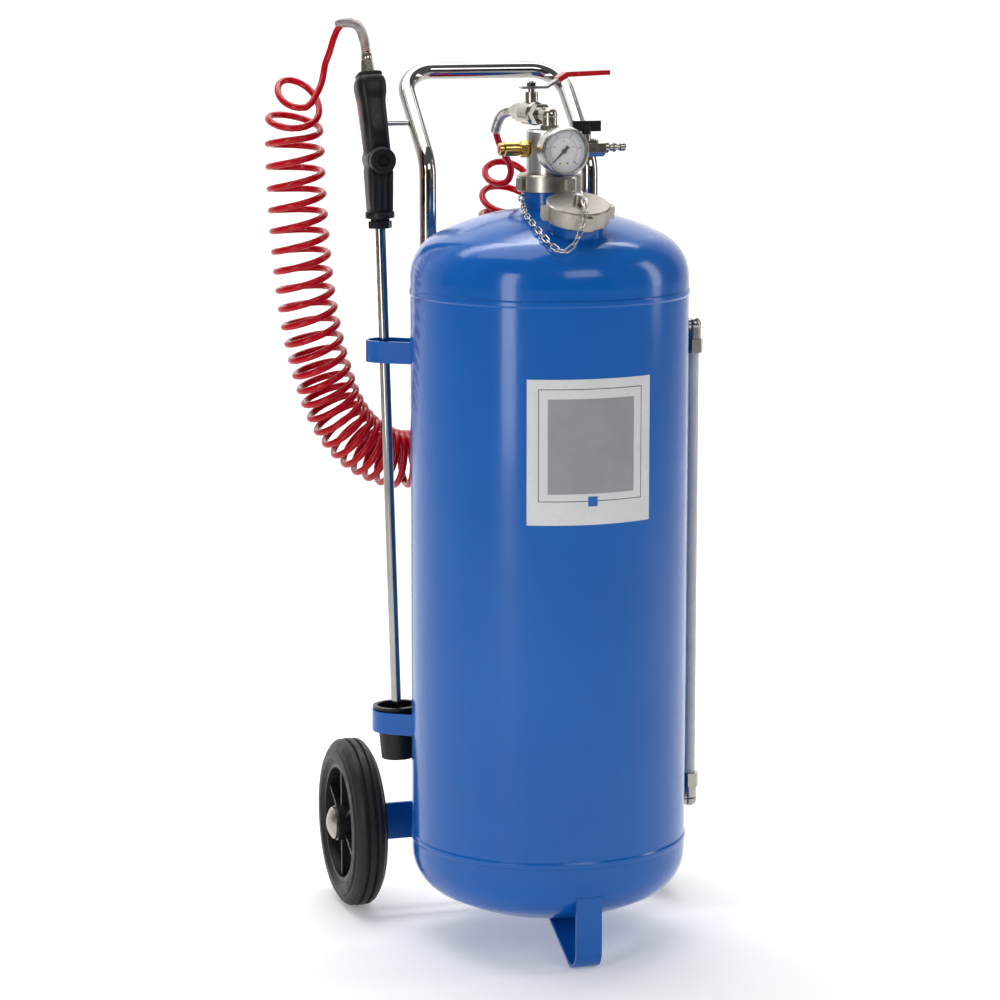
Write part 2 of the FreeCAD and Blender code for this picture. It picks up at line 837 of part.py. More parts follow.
def gun():
    head = size.head_height
    back_turn = Rotation(ABOUT_X, -90)
    front_turn = Rotation(ABOUT_X, 90)
    frame = gun_frame()
    collar = in_frame(turned("gun_collar", [(0, 8), (11, 8), (11, 12), (16.5, 12.5), (16.5, 19.5),
                                            (0, 20)]), frame)
    block = in_frame(prism("gun_block", "XY_Plane",
                           [(-14, -12), (-9, -15), (9, -15), (14, -12), (14, 14), (4.2, 18),
                            (4.2, 29.4), (-4.2, 29.4), (-4.2, 18), (-14, 14)], 50), frame, z=19)
    housing = in_frame(turned("gun_housing", [(0, -17), (15, -17), (15.5, -16), (15.5, 14),
                                              (13, 17), (0, 17)]), frame, z=head, turn=back_turn)
    grip_corners = [(-11, -17), (11, -17), (15, -12), (15, 10), (9, 16), (-9, 16), (-15, 10),
                    (-15, -12)]
    grip = in_frame(prism("gun_grip", "XY_Plane", grip_corners, size.grip_length),
                    grip_frame())
    cuff_corners = [(-12, -20), (12, -20), (17.5, -14), (17.5, 12), (11, 19), (-11, 19),
                    (-17.5, 12), (-17.5, -14)]
    cuff = in_frame(prism("gun_cuff", "XY_Plane", cuff_corners, 22), grip_frame(),
                    z=size.grip_length - 22)
    solid = fused("gun_body", collar, block, housing, grip, cuff)
    channel = in_frame(rod("gun_channel", 5, size.grip_length), grip_frame(), z=12)
    bore = in_frame(rod("gun_bore", size.lance_radius, 44), frame, z=-4)
    feed = in_frame(rod("gun_feed", 3.5, 40), frame, z=38)
    chamber = in_frame(rod("gun_chamber", 7, 27), frame, y=6, z=head, turn=front_turn)
    mouth = in_frame(rod("gun_mouth", 8.6, 6), frame, y=-12, z=head, turn=front_turn)
    passage = in_frame(rod("gun_passage", 2.5, 30), frame, y=0, z=head, turn=back_turn)
    hinge = in_frame(rod("gun_hinge_hole", 2, 40), frame, x=-20, y=25, z=58, turn=TO_RIGHT)
    node(cut("gun_body", solid, channel, bore, feed, chamber, mouth, passage, hinge), "gun_body")

    plug = new_body("gun_plug")
    revolve(plug, [(0, 12.2), (8.5, 12.2), (8.5, 17.1), (15, 17.1), (15, 24), (13.5, 25.5), (0, 25.5)])
    pocket_sketch = new_sketch(plug, "XY_Plane", 25.5)
    outline(pocket_sketch, hexagon(14))
    pocket = plug.newObject("PartDesign::Pocket", "gun_plug_socket")
    pocket.Profile = pocket_sketch
    pocket.Length = 7
    node(in_frame(plug, frame, z=head, turn=front_turn), "gun_plug")

    pin = turned("gun_valve_pin", [(0, -5.8), (6, -5.8), (6, -1.2), (2.4, -1.2), (2.4, 19.7),
                                   (0, 19.7)])
    in_frame(pin, frame, y=7, z=head, turn=back_turn)
    node(pin, "gun_valve_pin")
    coil = spring("gun_valve_spring", 4.5, 0.6, 11.6, 5)
    node(in_frame(coil, frame, y=-11.4, z=head, turn=back_turn), "gun_valve_spring")

    lever_corners = [(31.2, 51), (31.2, 70), (27.0, 74), (27.0, 84), (54, 136), (60, 146),
                     (64, 145), (58, 134), (36, 84), (37, 70), (36, 51)]
    cheek_corners = [(20, 54), (24, 51), (37, 51), (37, 68), (31, 72), (24, 68), (20, 62)]
    lever = in_frame(prism("trigger_blade", "YZ_Plane", lever_corners, 15, middle=True), frame)
    cheeks = in_frame(prism("trigger_cheeks", "YZ_Plane", cheek_corners, 15, middle=True), frame)
    gap = in_frame(prism("trigger_gap", "YZ_Plane", rectangle(10, 40, 31.6, 73), 8.8, middle=True),
                   frame)
    hole = in_frame(rod("trigger_hole", 2.1, 40), frame, x=-20, y=25, z=58, turn=TO_RIGHT)
    joined = fused("gun_trigger", lever, cheeks)
    node(cut("gun_trigger", joined, gap, hole), "gun_trigger")
    hinge_pin = tube("trigger_pin", 0, 2, -8.5, 8.5, 0.3)
    node(in_frame(hinge_pin, frame, y=25, z=58, turn=TO_RIGHT), "trigger_pin")

    swivel = new_body("gun_swivel")
    foot = size.grip_length + 0.1
    top = size.grip_length + size.swivel_length
    extrude(swivel, "XY_Plane", hexagon(15), 17, foot, holes=[(0, 0, size.hose_radius)])
    revolve(swivel, [(size.hose_radius, foot + 16.9), (6.6, foot + 16.9), (6.2, top),
                     (size.hose_radius, top)])
    node(in_frame(swivel, grip_frame()), "gun_swivel")


# ----------------------------------------------------------------------------------------- the hose

# From the gun's swivel over the top of its guard and down to the coil.
GUN_LEAD = [(-170.1, 166.0, 1034.1), (-179.0, 176.0, 1051.0), (-196.5, 188.5, 1046.5),
            (-204.0, 192.5, 1024.0), (-211.0, 190.0, 1003.0), (-220.0, 187.0, 985.0),
            (-230.5, 185.0, 968.2)]
GUARD_POINTS = 3

# Middle of the coil: down the left, round under the tank's back, and up to the outlet valve.
COIL = [(-236.0, 185.0, 968.0), (-250.0, 184.0, 920.0), (-243.0, 184.0, 773.0),
        (-227.0, 186.0, 668.0), (-192.0, 194.0, 570.0), (-117.0, 206.0, 524.0),
        (-40.0, 206.0, 560.0), (-4.0, 199.0, 650.0), (9.0, 197.0, 750.0), (13.0, 198.0, 860.0)]

# From the outlet valve's guard round behind the manifold and down into the coil.
VALVE_LEAD = [(-15.7, 89.2, 949.0), (-18.5, 105.0, 948.5), (-23.0, 121.0, 940.0),
              (-24.0, 131.0, 924.0), (-17.0, 138.0, 907.0), (-4.0, 148.0, 890.0),
              (7.0, 164.0, 874.0), (12.0, 186.0, 864.3)]


def gun_exit():
    """Where the hose leaves the gun's swivel, just clear of its end face."""
    reach = SIZES["grip_length"] + SIZES["swivel_length"] + 0.1
    return grip_frame().multVec(Vector(0, 0, reach))


def report_path(name, points, wire, radius, shape):
    radii = ", ".join("%.0f" % item for item in easy_radii(points))
    expected = math.pi * radius ** 2 * wire.Length
    print("%s: radii %s; volume %.0f against %.0f" % (name, radii, shape.Volume, expected))


def hose():
    leads = {"hose_lead_gun": [gun_exit()] + [spot(*point) for point in GUN_LEAD],
             "hose_lead_valve": [spot(*point) for point in VALVE_LEAD]}
    for name, points in leads.items():
        wire = bent_line(points, easy_radii(points))
        item = swept(name, wire, size.hose_radius)
        node(item, name)
        document.recompute()
        report_path(name, points, wire, SIZES["hose_radius"], item.Shape)
    points = [spot(*point) for point in COIL]
    wire = bent_line(points, easy_radii(points))
    coil = swept("hose_coil", wire, size.coil_radius)
    node(coil, "hose_coil")
    document.recompute()
    report_path("hose_coil", points, wire, SIZES["coil_radius"], coil.Shape)


def guards():
    """Spring guards over both ends of the hose, as sleeves that follow it."""
    ends = {"gun_spring_guard": [gun_exit()] + [spot(*point) for point in GUN_LEAD],
            "valve_spring_guard": [spot(*point) for point in VALVE_LEAD]}
    for name, points in ends.items():
        whole = bent_line(points, easy_radii(points))
        wire = Part.Wire(whole.OrderedEdges[:2 * GUARD_POINTS - 1])
        outer = swept(name, wire, size.guard_radius)
        inner = swept(name + "_bore", wire, size.hose_radius)
        node(cut(name, outer, inner), name)


# ----------------------------------------------------------------------------------- manifold group


def lugs(body, radius, low, depth):
    """Four spanner lugs round a ring."""
    half = size.lug_width / 2
    lug = extrude(body, "XY_Plane", rectangle(radius - 3, -half, radius + size.lug_rise, half),
                  depth, low)
    pattern = body.newObject("PartDesign::PolarPattern", body.Name + "_lugs")
    pattern.Originals = [lug]
    spin = [feature for feature in body.Origin.OriginFeatures if feature.Role == "Z_Axis"][0]
    pattern.Axis = (spin, [""])
    pattern.Angle = 360
    pattern.Occurrences = 4
    body.Tip = pattern


def manifold():
    top = size.ring_top
    seat = size.neck_top
    ring = new_body("ring_nut")
    wide = size.neck_radius + size.thread_gap
    revolve(ring, [(wide, size.neck_shoulder), (size.ring_radius - 1, size.neck_shoulder),
                   (size.ring_radius, size.neck_shoulder + 1), (size.ring_radius, top - 2),
                   (size.ring_radius - 2, top), (size.manifold_radius + 0.3, top),
                   (size.manifold_radius + 0.3, seat + 5.6), (wide, seat + 5.6)])
    lugs(ring, size.ring_radius, SIZES["neck_shoulder"] + 3, 13)
    node(placed(ring, turn=Rotation(ABOUT_Z, 17)), "ring_nut")
    gasket = tube("manifold_gasket", 26.5, size.flange_radius - 1, seat, seat + 2)
    node(placed(gasket), "manifold_gasket")

    radius = size.manifold_radius
    spigot = size.neck_bore - 0.5
    corners = [(size.annulus_radius, 850), (spigot, 850), (spigot, seat + 2),
               (size.flange_radius, seat + 2), (size.flange_radius, seat + 5.5),
               (radius, seat + 5.5), (radius, size.manifold_top - 2),
               (radius - 2, size.manifold_top), (size.dip_radius, size.manifold_top),
               (size.dip_radius, size.port_height + 8), (size.annulus_radius,
                                                         size.port_height + 8)]
    block = placed(turned("manifold_body", corners))
    drills = []
    for turn in (TO_FRONT, TO_LEFT, TO_RIGHT):
        drills.append(in_frame(rod("port_drill", size.port_bore, 20), port_frame(turn), z=12))
    node(cut("manifold_body", block, *drills), "manifold_body")
    dip = placed(tube("dip_tube", size.dip_bore, size.dip_radius, size.dip_bottom,
                      size.manifold_top - 3))
    node(dip, "dip_tube")


def outlet_valve():
    frame = outlet_frame()
    axis_height = size.outlet_height
    riser = placed(rod("elbow_riser", 8.5, axis_height - size.manifold_top), 0, 0,
                   size.manifold_top)
    skirt = placed(hexed("elbow_hex", 19, 5), 0, 0, size.manifold_top)
    knee = placed(ball("elbow_knee", 8.8), 0, 0, axis_height)
    arm = in_frame(rod("elbow_arm", 8.5, 18), frame)
    arm_bore = in_frame(rod("elbow_arm_bore", 6, 30), frame)
    riser_bore = placed(rod("elbow_riser_bore", 6, 30), 0, 0, axis_height - 30)
    whole = fused("outlet_elbow", riser, skirt, knee, arm)
    node(cut("outlet_elbow", whole, arm_bore, riser_bore), "outlet_elbow")

    centre = 44
    stem_turn = Rotation(ABOUT_X, 90)
    first = in_frame(hexed("valve_hex_one", 22, 13), frame, z=18)
    barrel = in_frame(turned("valve_barrel", [(0, 30.5), (12, 30.5), (13.5, 33), (13.5, 55),
                                              (12, 57.5), (0, 57.5)]), frame)
    second = in_frame(hexed("valve_hex_two", 21, 13), frame, z=57)
    boss = in_frame(rod("valve_boss", 7.5, 24), frame, z=centre, turn=stem_turn)
    cavity = in_frame(ball("valve_cavity", 9.6), frame, z=centre)
    bore = in_frame(rod("valve_bore", 5, 60), frame, z=14)
    stem_bore = in_frame(rod("valve_stem_bore", 4.1, 40), frame, z=centre, turn=stem_turn)
    whole = fused("outlet_valve", first, barrel, second, boss)
    node(cut("outlet_valve_body", whole, cavity, bore, stem_bore), "outlet_valve_body")

    sphere = in_frame(ball("outlet_ball", 9.5), frame, z=centre)
    way = in_frame(rod("outlet_ball_way", 5, 40), frame, x=-20, z=centre, turn=TO_RIGHT)
    slot = in_frame(rod("outlet_ball_slot", 4, 10), frame, z=centre, y=-6.5, turn=stem_turn)
    sphere = cut("outlet_ball", sphere, way, slot)
    stem = turned("outlet_stem", [(0, 6.5), (4, 6.5), (4, 27.6), (3, 27.6), (3, 36), (0, 36)])
    in_frame(stem, frame, z=centre, turn=stem_turn)

    lever_turn = Rotation(ABOUT_Z, SIZES["outlet_turn"])
    direction = lever_turn.multVec(Vector(0, centre, 0))
    height = SIZES["outlet_height"]
    plate = [(-13, 27.6), (17, 27.6), (41, 41.8), (88, 43.6), (88, 46.2), (40, 44.6),
             (16.2, 30.4), (-13, 30.4)]
    blade = prism("outlet_lever", "XZ_Plane", plate, 13, middle=True)
    placed(blade, direction.x, direction.y, height)
    hole = placed(rod("lever_hole", 3, 20), direction.x, direction.y, height + 20)
    node(cut("outlet_lever", blade, hole), "outlet_lever")
    sleeve_corners = [(31, 34.1), (41.6, 40.4), (91, 42.2), (91, 47.6), (39.4, 46),
                      (29.4, 40.1)]
    sleeve = placed(prism("outlet_grip", "XZ_Plane", sleeve_corners, 16, middle=True),
                    direction.x, direction.y, height)
    core = placed(prism("grip_core", "XZ_Plane", plate, 13, middle=True), direction.x,
                  direction.y, height)
    node(cut("outlet_grip", sleeve, core), "outlet_grip")
    nut = placed(hex_nut("outlet_nut", 10, 4, 3), direction.x, direction.y, height + 30.5)
    node(together("outlet_ball", sphere, stem, nut), "outlet_ball")
    tail = in_frame(hexed("hose_nut", 17, 12), frame, z=70.1)
    tail_neck = in_frame(rod("hose_nut_neck", 6.6, 8), frame, z=82)
    tail_bore = in_frame(rod("hose_nut_bore", size.hose_radius, 40), frame, z=60)
    node(cut("outlet_hose_nut", fused("hose_nut", tail, tail_neck), tail_bore), "outlet_hose_nut")


def hexed(name, across, depth):
    return prism(name, "XY_Plane", hexagon(across), depth)


def gauge():
    frame = port_frame(TO_FRONT)
    socket = fused("gauge_socket", in_frame(rod("gauge_thread", size.port_bore, 18), frame, z=14),
                   in_frame(hexed("gauge_hex", 14, 4.5), frame, z=26.4))
    through = in_frame(rod("gauge_way", 1.5, 40), frame, z=10)
    socket = cut("gauge_socket", socket, through)
    case = turned("gauge_case", [(size.port_bore, 31), (24, 31), (25.5, 32.5), (25.5, 56),
                                 (24.5, 56), (24.5, 33.5), (size.port_bore, 33.5)])
    node(in_frame(case, frame), "gauge_case")
    bezel = turned("gauge_bezel", [(25.6, 49), (27, 49), (27.4, 50), (27.4, 57.5), (26.2, 59.4),
                                   (24.4, 60), (23.2, 58.2), (23.2, 57.1), (25.6, 57.1)])
    node(in_frame(bezel, frame), "gauge_bezel")
    node(in_frame(solid_disc("gauge_glass", 25.4, 56.05, 57.05), frame), "gauge_glass")
    dial = new_body("gauge_dial")
    revolve(dial, [(1.1, 50), (24.3, 50), (24.3, 50.8), (1.1, 50.8)])
    node(in_frame(dial, frame), "gauge_dial")
    tip = math.radians(225)
    needle = [(-2.1, -7), (2.1, -7), (1.2, 0), (0.35, 19), (-0.35, 19), (-1.2, 0)]
    blade = in_frame(prism("gauge_needle", "XY_Plane", needle, 0.6, 52), frame,
                     turn=Rotation(ABOUT_Z, math.degrees(tip) - 90))
    arbor = in_frame(turned("gauge_arbor", [(0, 44), (1, 44), (1, 51.5), (2.6, 51.5), (2.6, 53.6),
                                            (0, 53.6)]), frame)
    node(fused("gauge_pointer", blade, arbor), "gauge_pointer")
    ring = [Vector(17 * math.cos(math.radians(turn)), 17 * math.sin(math.radians(turn)), 0)
            for turn in (-90, 0, 90, 165)]
    first = Part.Arc(ring[0], ring[1], ring[2]).toShape()
    second = Part.Arc(ring[2], ring[2].add(ring[3]).normalize() * 17, ring[3]).toShape()
    bourdon = swept("bourdon_tube", Part.Wire([first, second]), 2.2)
    in_frame(bourdon, frame, z=40)
    plate = in_frame(prism("gauge_plate", "XY_Plane", rectangle(-7, -14.6, 7, 9), 2, 44.5,
                           holes=[(0, 0, 1.1)]), frame)
    node(together("gauge_movement", socket, bourdon, plate), "gauge_movement")


def solid_disc(name, radius, bottom, top):
    return turned(name + "_disc", [(0, bottom), (radius, bottom), (radius, top), (0, top)])


def relief_valve():
    frame = port_frame(TO_LEFT)
    thread = in_frame(rod("relief_thread", size.port_bore, 16), frame, z=14)
    flats = in_frame(hexed("relief_hex", 17, 7.7), frame, z=26.4)
    barrel = in_frame(turned("relief_barrel", [(0, 34), (6.6, 34), (6.6, 36), (8, 37), (8, 53),
                                               (7, 54), (0, 54)]), frame)
    inside = in_frame(rod("relief_inside", 5.6, 16), frame, z=35)
    way = in_frame(rod("relief_way", 2.5, 30), frame, z=10)
    mouth = in_frame(rod("relief_mouth", 2.6, 10), frame, z=48)
    body = fused("relief_body", thread, flats, barrel)
    node(cut("relief_body", body, inside, way, mouth), "relief_body")
    poppet = turned("relief_poppet", [(0, 35.1), (5, 35.1), (5, 38), (2.5, 38), (2.5, 54.4),
                                      (6.4, 54.4), (7, 55), (7, 59), (6.4, 59.6), (0, 59.6)])
    node(in_frame(poppet, frame), "relief_poppet")
    node(in_frame(spring("relief_spring", 4.0, 0.6, 10.4, 4), frame, z=39.2), "relief_spring")


def inlet():
    frame = port_frame(TO_RIGHT)
    centre = 43
    thread = in_frame(rod("inlet_thread", size.port_bore, 16), frame, z=14)
    flats = in_frame(hexed("inlet_hex", 18, 37), frame, z=27)
    cavity = in_frame(ball("inlet_cavity", 6.6), frame, z=centre)
    way = in_frame(rod("inlet_way", 3, 60), frame, z=10)
    boss = in_frame(rod("inlet_boss", 5.5, 15), frame, z=centre, turn=TO_LEFT)
    stem_hole = in_frame(rod("inlet_stem_hole", 2.6, 30), frame, z=centre, turn=TO_LEFT)
    body = fused("inlet_valve", thread, flats, boss)
    node(cut("inlet_valve_body", body, cavity, way, stem_hole), "inlet_valve_body")
    sphere = in_frame(ball("inlet_ball", 6.5), frame, z=centre)
    hole = in_frame(rod("inlet_ball_way", 3, 30), frame, z=centre - 15)
    stem = in_frame(rod("inlet_stem", 2.5, 20), frame, z=centre, turn=TO_LEFT)
    node(cut("inlet_ball", fused("inlet_ball", sphere, stem), hole), "inlet_ball")
    paddle = [(-16, 18), (17, 18), (17, 30), (-16, 30)]
    wing = prism("inlet_handle", "XZ_Plane", paddle, 4, middle=True)
    hub = turned("inlet_handle_hub", [(0, 15.3), (5.4, 15.3), (5.4, 22), (3.5, 26), (0, 26)])
    socket = rod("inlet_handle_socket", 2.5, 20)
    for item in (wing, hub, socket):
        placed(item, centre, 0, size.port_height)
    node(cut("inlet_handle", fused("inlet_handle", wing, hub), socket), "inlet_handle")

    plug = turned("inlet_plug", [
        (3, 64.1), (6.8, 64.1), (6.8, 68), (5.9, 69), (4.4, 70), (4.4, 74), (5.6, 75),
        (5.6, 77), (4.4, 78), (3.6, 79.5), (3.6, 82), (5, 83), (5, 88), (4, 89.5), (2.5, 89.5),
        (2.5, 70), (3, 68)])
    node(in_frame(plug, frame), "inlet_plug")


# ---------------------------------------------------------------------------- filler cap and chain


def filler_cap():
    frame = filler_frame()
    rise = size.filler_rise
    cap = new_body("filler_cap")
    wide = size.filler_radius + size.thread_gap
    edge = size.cap_radius
    revolve(cap, [(5.1, rise + 2.4), (wide, rise + 2.4), (wide, rise - 10),
                  (edge - 1, rise - 10), (edge, rise - 9), (edge, rise + 8.6),
                  (edge - 1.4, rise + 10), (5.1, rise + 10)])
    lugs(cap, edge, SIZES["filler_rise"] - 8, 14)
    node(in_frame(cap, frame), "filler_cap")
    gasket = tube("filler_gasket", size.filler_bore + 0.5, size.filler_radius - 0.6,
                  rise + 0.1, rise + 2.3)
    node(in_frame(gasket, frame), "filler_gasket")
    post = in_frame(turned("cap_post", [
        (0, rise + 0.4), (6.8, rise + 0.4), (6.8, rise + 2.2), (5, rise + 2.2), (5, rise + 10.2),
        (6.2, rise + 10.2), (6.2, rise + 19), (5, rise + 20.5), (0, rise + 21)]), frame)
    eye = wire_eye("post_eye")
    in_frame(eye, frame, y=-8.6, z=rise + 16.5, turn=TO_RIGHT)
    node(fused("cap_post", post, eye), "cap_post")


def wire_eye(name):
    eye = document.addObject("Part::Torus", name)
    eye.Radius1 = 3.6
    eye.Radius2 = 1.1
    return eye


# The chain's middle line, from an eye on the centre neck, down the dome beside the filler neck,
# up in front of the cap and back over its top to the post.
CHAIN = [(-36.0, -12.5, 853.0), (-41.0, -36.0, 846.5), (-46.0, -62.0, 842.0),
         (-46.0, -88.0, 834.5), (-44.0, -112.0, 825.5), (-41.0, -132.0, 816.5),
         (-34.0, -147.5, 809.5), (-24.0, -151.5, 813.5), (-15.0, -149.5, 826.0),
         (-9.0, -147.5, 840.0), (-4.0, -141.0, 853.5), (-1.0, -127.5, 862.5),
         (0.0, -120.0, 867.5)]


def chain_link(name, half_length, half_width, wire):
    """One oval link about its own middle, long way along Z, flat in the XZ plane."""
    straight = half_length - half_width
    top = [Vector(-half_width, 0, straight), Vector(0, 0, half_length),
           Vector(half_width, 0, straight)]
    low = [Vector(half_width, 0, -straight), Vector(0, 0, -half_length),
           Vector(-half_width, 0, -straight)]
    edges = [Part.LineSegment(low[2], top[0]).toShape(), Part.Arc(*top).toShape(),
             Part.LineSegment(top[2], low[0]).toShape(), Part.Arc(*low).toShape()]
    return swept(name, Part.Wire(edges), wire)


def filler_chain():
    """Links set end to end along the chain's line, each a quarter turn from the last."""
    pitch, half_width, wire = 11.8, 3.3, 0.8
    line = Part.BSplineCurve()
    line.interpolate([spot(*point) for point in CHAIN])
    joints = line.discretize(Number=round(line.length() / pitch) + 1)
    links = []
    for index in range(len(joints) - 1):
        along = joints[index + 1] - joints[index]
        turn = Rotation(ABOUT_Z, along).multiply(Rotation(ABOUT_Z, 45 + 90 * (index % 2)))
        link = chain_link("chain_link", along.Length / 2 + 1.2 * wire, half_width, wire)
        link.Placement = Placement((joints[index] + joints[index + 1]) / 2, turn)
        links.append(link)
    eye = wire_eye("neck_eye")
    placed(eye, -size.neck_radius - 2.5, -4, 857, Rotation(ABOUT_X, 90))
    eye = cut("neck_eye", eye, placed(rod("eye_trim", size.neck_radius, 60), 0, 0, 830))
    node(together("filler_chain", eye, *links), "filler_chain")


# --------------------------------------------------------------------------------------- level gauge


def level_elbow(name, height, up):
    """Fitting about its own port: a stub through the shell and an arm towards the glass tube."""
    reach = size.level_reach
    stub = placed(rod(name + "_stub", 6.5, reach - size.tank_radius + 8), size.tank_radius - 8, 0,
                  height, TO_RIGHT)
    collar = placed(rod(name + "_collar", 10, 4), size.tank_radius + 1.4, 0, height, TO_RIGHT)
    knee = placed(ball(name + "_knee", 8.5), reach, 0, height)
    arm = placed(rod(name + "_arm", 8, 16), reach, 0, height if up > 0 else height - 16)
    stub_bore = placed(rod(name + "_stub_bore", 3.5, 40), reach - 40, 0, height, TO_RIGHT)
    arm_bore = placed(rod(name + "_arm_bore", 3.5, 20), reach, 0, height if up > 0 else height - 20)
    seat = placed(rod(name + "_seat", size.level_radius, 9), reach, 0,
                  height + 8 if up > 0 else height - 17)
    whole = fused(name, stub, collar, knee, arm)
    return cut(name, whole, stub_bore, arm_bore, seat)


def level_gauge():
    fittings = [level_elbow("level_elbow_top", size.level_top, -1),
                level_elbow("level_elbow_bottom", size.level_bottom, 1)]
    for low in (size.level_top - 32.1, size.level_bottom + 16.1):
        nut = hex_nut("level_nut", 19, 16, size.level_radius)
        fittings.append(placed(nut, size.level_reach, 0, low))
    node(together("level_fittings", *fittings), "level_fittings")
    glass = tube("level_tube", size.level_bore, size.level_radius, size.level_bottom + 8,
                 size.level_top - 8)
    node(placed(glass, size.level_reach, 0, 0), "level_tube")


def main():
    tank()
    necks()
    foot()
    axle_bracket()
    wheels()
    handle()
    lance_rests()
    lance()
    gun()
    hose()
    guards()
    manifold()
    outlet_valve()
    gauge()
    relief_valve()
    inlet()
    filler_cap()
    filler_chain()
    level_gauge()
    document.recompute()
    write_parts()


def write_parts():
    for item in document.Objects:
        bad = [state for state in item.State if state in ("Invalid", "Error")]
        if bad:
            raise RuntimeError("%s is %s" % (item.Label, bad))
    for name, item in NODES.items():
        if item.Shape.isNull() or not item.Shape.isValid():
            raise RuntimeError(name + " has no valid shape")
    os.makedirs("parts", exist_ok=True)
    for name, item in NODES.items():
        item.Shape.exportStep(os.path.join("parts", name + ".step"))
    print(len(NODES), "parts written")


main()
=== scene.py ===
"""Looks for a mobile pressure sprayer with a lance, a spiral hose and a brass and steel manifold.

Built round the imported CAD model. Lengths are in metres, in the frame of the part.
"""

import bisect
import json
import math

import bmesh
import bpy
from mathutils import Matrix, Vector


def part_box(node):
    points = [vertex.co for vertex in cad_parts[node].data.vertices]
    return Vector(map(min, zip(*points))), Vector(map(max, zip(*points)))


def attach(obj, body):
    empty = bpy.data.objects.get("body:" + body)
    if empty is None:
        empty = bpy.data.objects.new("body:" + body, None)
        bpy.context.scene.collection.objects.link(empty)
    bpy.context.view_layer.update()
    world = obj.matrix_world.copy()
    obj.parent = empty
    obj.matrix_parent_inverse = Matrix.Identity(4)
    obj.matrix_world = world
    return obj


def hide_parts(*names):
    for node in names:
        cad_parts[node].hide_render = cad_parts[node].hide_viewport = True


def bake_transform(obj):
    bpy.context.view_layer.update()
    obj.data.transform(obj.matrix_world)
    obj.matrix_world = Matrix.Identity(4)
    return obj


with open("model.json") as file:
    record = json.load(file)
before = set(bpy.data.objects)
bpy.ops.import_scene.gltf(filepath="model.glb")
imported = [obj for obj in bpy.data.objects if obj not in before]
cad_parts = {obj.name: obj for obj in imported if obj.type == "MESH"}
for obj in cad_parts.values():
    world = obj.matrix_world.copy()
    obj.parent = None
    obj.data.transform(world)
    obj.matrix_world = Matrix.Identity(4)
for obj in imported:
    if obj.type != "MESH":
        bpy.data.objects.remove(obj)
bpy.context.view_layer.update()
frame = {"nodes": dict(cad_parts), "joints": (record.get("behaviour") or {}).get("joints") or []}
nodes = frame["nodes"]

TANK_Y = -0.067
TANK_RADIUS = 0.1575
UP = Vector((0, 0, 1))
RIGHT = Vector((1, 0, 0))
FRONT = Vector((0, -1, 0))
TURN = 2 * math.pi


def linked(item):
    bpy.context.scene.collection.objects.link(item)
    return item


# ------------------------------------------------------------------------------------------ camera


def camera():
    place = Vector((-1.1639, -3.6837, 1.1584))
    target = Vector((-0.0532, -0.0507, 0.5124))
    lens = bpy.data.cameras.new("camera")
    lens.sensor_width = 36
    lens.lens = 121.7
    holder = linked(bpy.data.objects.new("camera", lens))
    holder.location = place
    holder.rotation_euler = (target - place).to_track_quat("-Z", "Y").to_euler()
    bpy.context.scene.camera = holder


# ------------------------------------------------------------------------------- lines and windings


def spot(x, y, z):
    """A point given in millimetres from the tank's axis at the floor, in metres in the frame."""
    return Vector((x / 1000, y / 1000 + TANK_Y, z / 1000))


def smooth_line(name, points):
    """Points read from the smooth NURBS spline that has these points as its control points."""
    curve = bpy.data.curves.new(name, "CURVE")
    curve.dimensions = "3D"
    curve.resolution_u = 24
    spline = curve.splines.new("NURBS")
    spline.points.add(len(points) - 1)
    for control, point in zip(spline.points, points):
        control.co = (*point, 1)
    spline.order_u = 3
    spline.use_endpoint_u = True
    holder = linked(bpy.data.objects.new(name, curve))
    mesh = bpy.data.meshes.new_from_object(holder)
    line = [vertex.co.copy() for vertex in mesh.vertices]
    bpy.data.objects.remove(holder)
    bpy.data.curves.remove(curve)
    bpy.data.meshes.remove(mesh)
    return line


def carried(line, side):
    """A direction along, and two across, at each point of line, without twist."""
    last = len(line) - 1
    result = []
    for i in range(len(line)):
        along = (line[min(i + 1, last)] - line[max(i - 1, 0)]).normalized()
        side = (side - along * side.dot(along)).normalized()
        result.append((along, side, along.cross(side)))
    return result


class Track:
    """A line that can be asked for the place and directions at any distance along it."""

    def __init__(self, line, side=RIGHT):
        self.line = line
        self.axes = carried(line, side)
        self.travel = [0.0]
        for a, b in zip(line, line[1:]):
            self.travel.append(self.travel[-1] + (b - a).length)
        self.length = self.travel[-1]

    def at(self, distance):
        i = min(max(bisect.bisect_right(self.travel, distance) - 1, 0), len(self.line) - 2)
        share = (distance - self.travel[i]) / (self.travel[i + 1] - self.travel[i])
        share = min(max(share, 0.0), 1.0)
        place = self.line[i].lerp(self.line[i + 1], share)
        return place, [a.lerp(b, share) for a, b in zip(self.axes[i], self.axes[i + 1])]

    def nearest(self, point):
        best = min(range(len(self.line)), key=lambda i: (self.line[i] - point).length)
        return self.travel[best]


def ease(share):
    share = min(max(share, 0.0), 1.0)
    return share * share * (3 - 2 * share)


def stepped(table, x):
    """The value at x in a table of (x, value), straight between its rows."""
    if x <= table[0][0]:
        return table[0][1]
    for (x0, v0), (x1, v1) in zip(table, table[1:]):
        if x <= x1:
            return v0 + (v1 - v0) * (x - x0) / (x1 - x0)
    return table[-1][1]


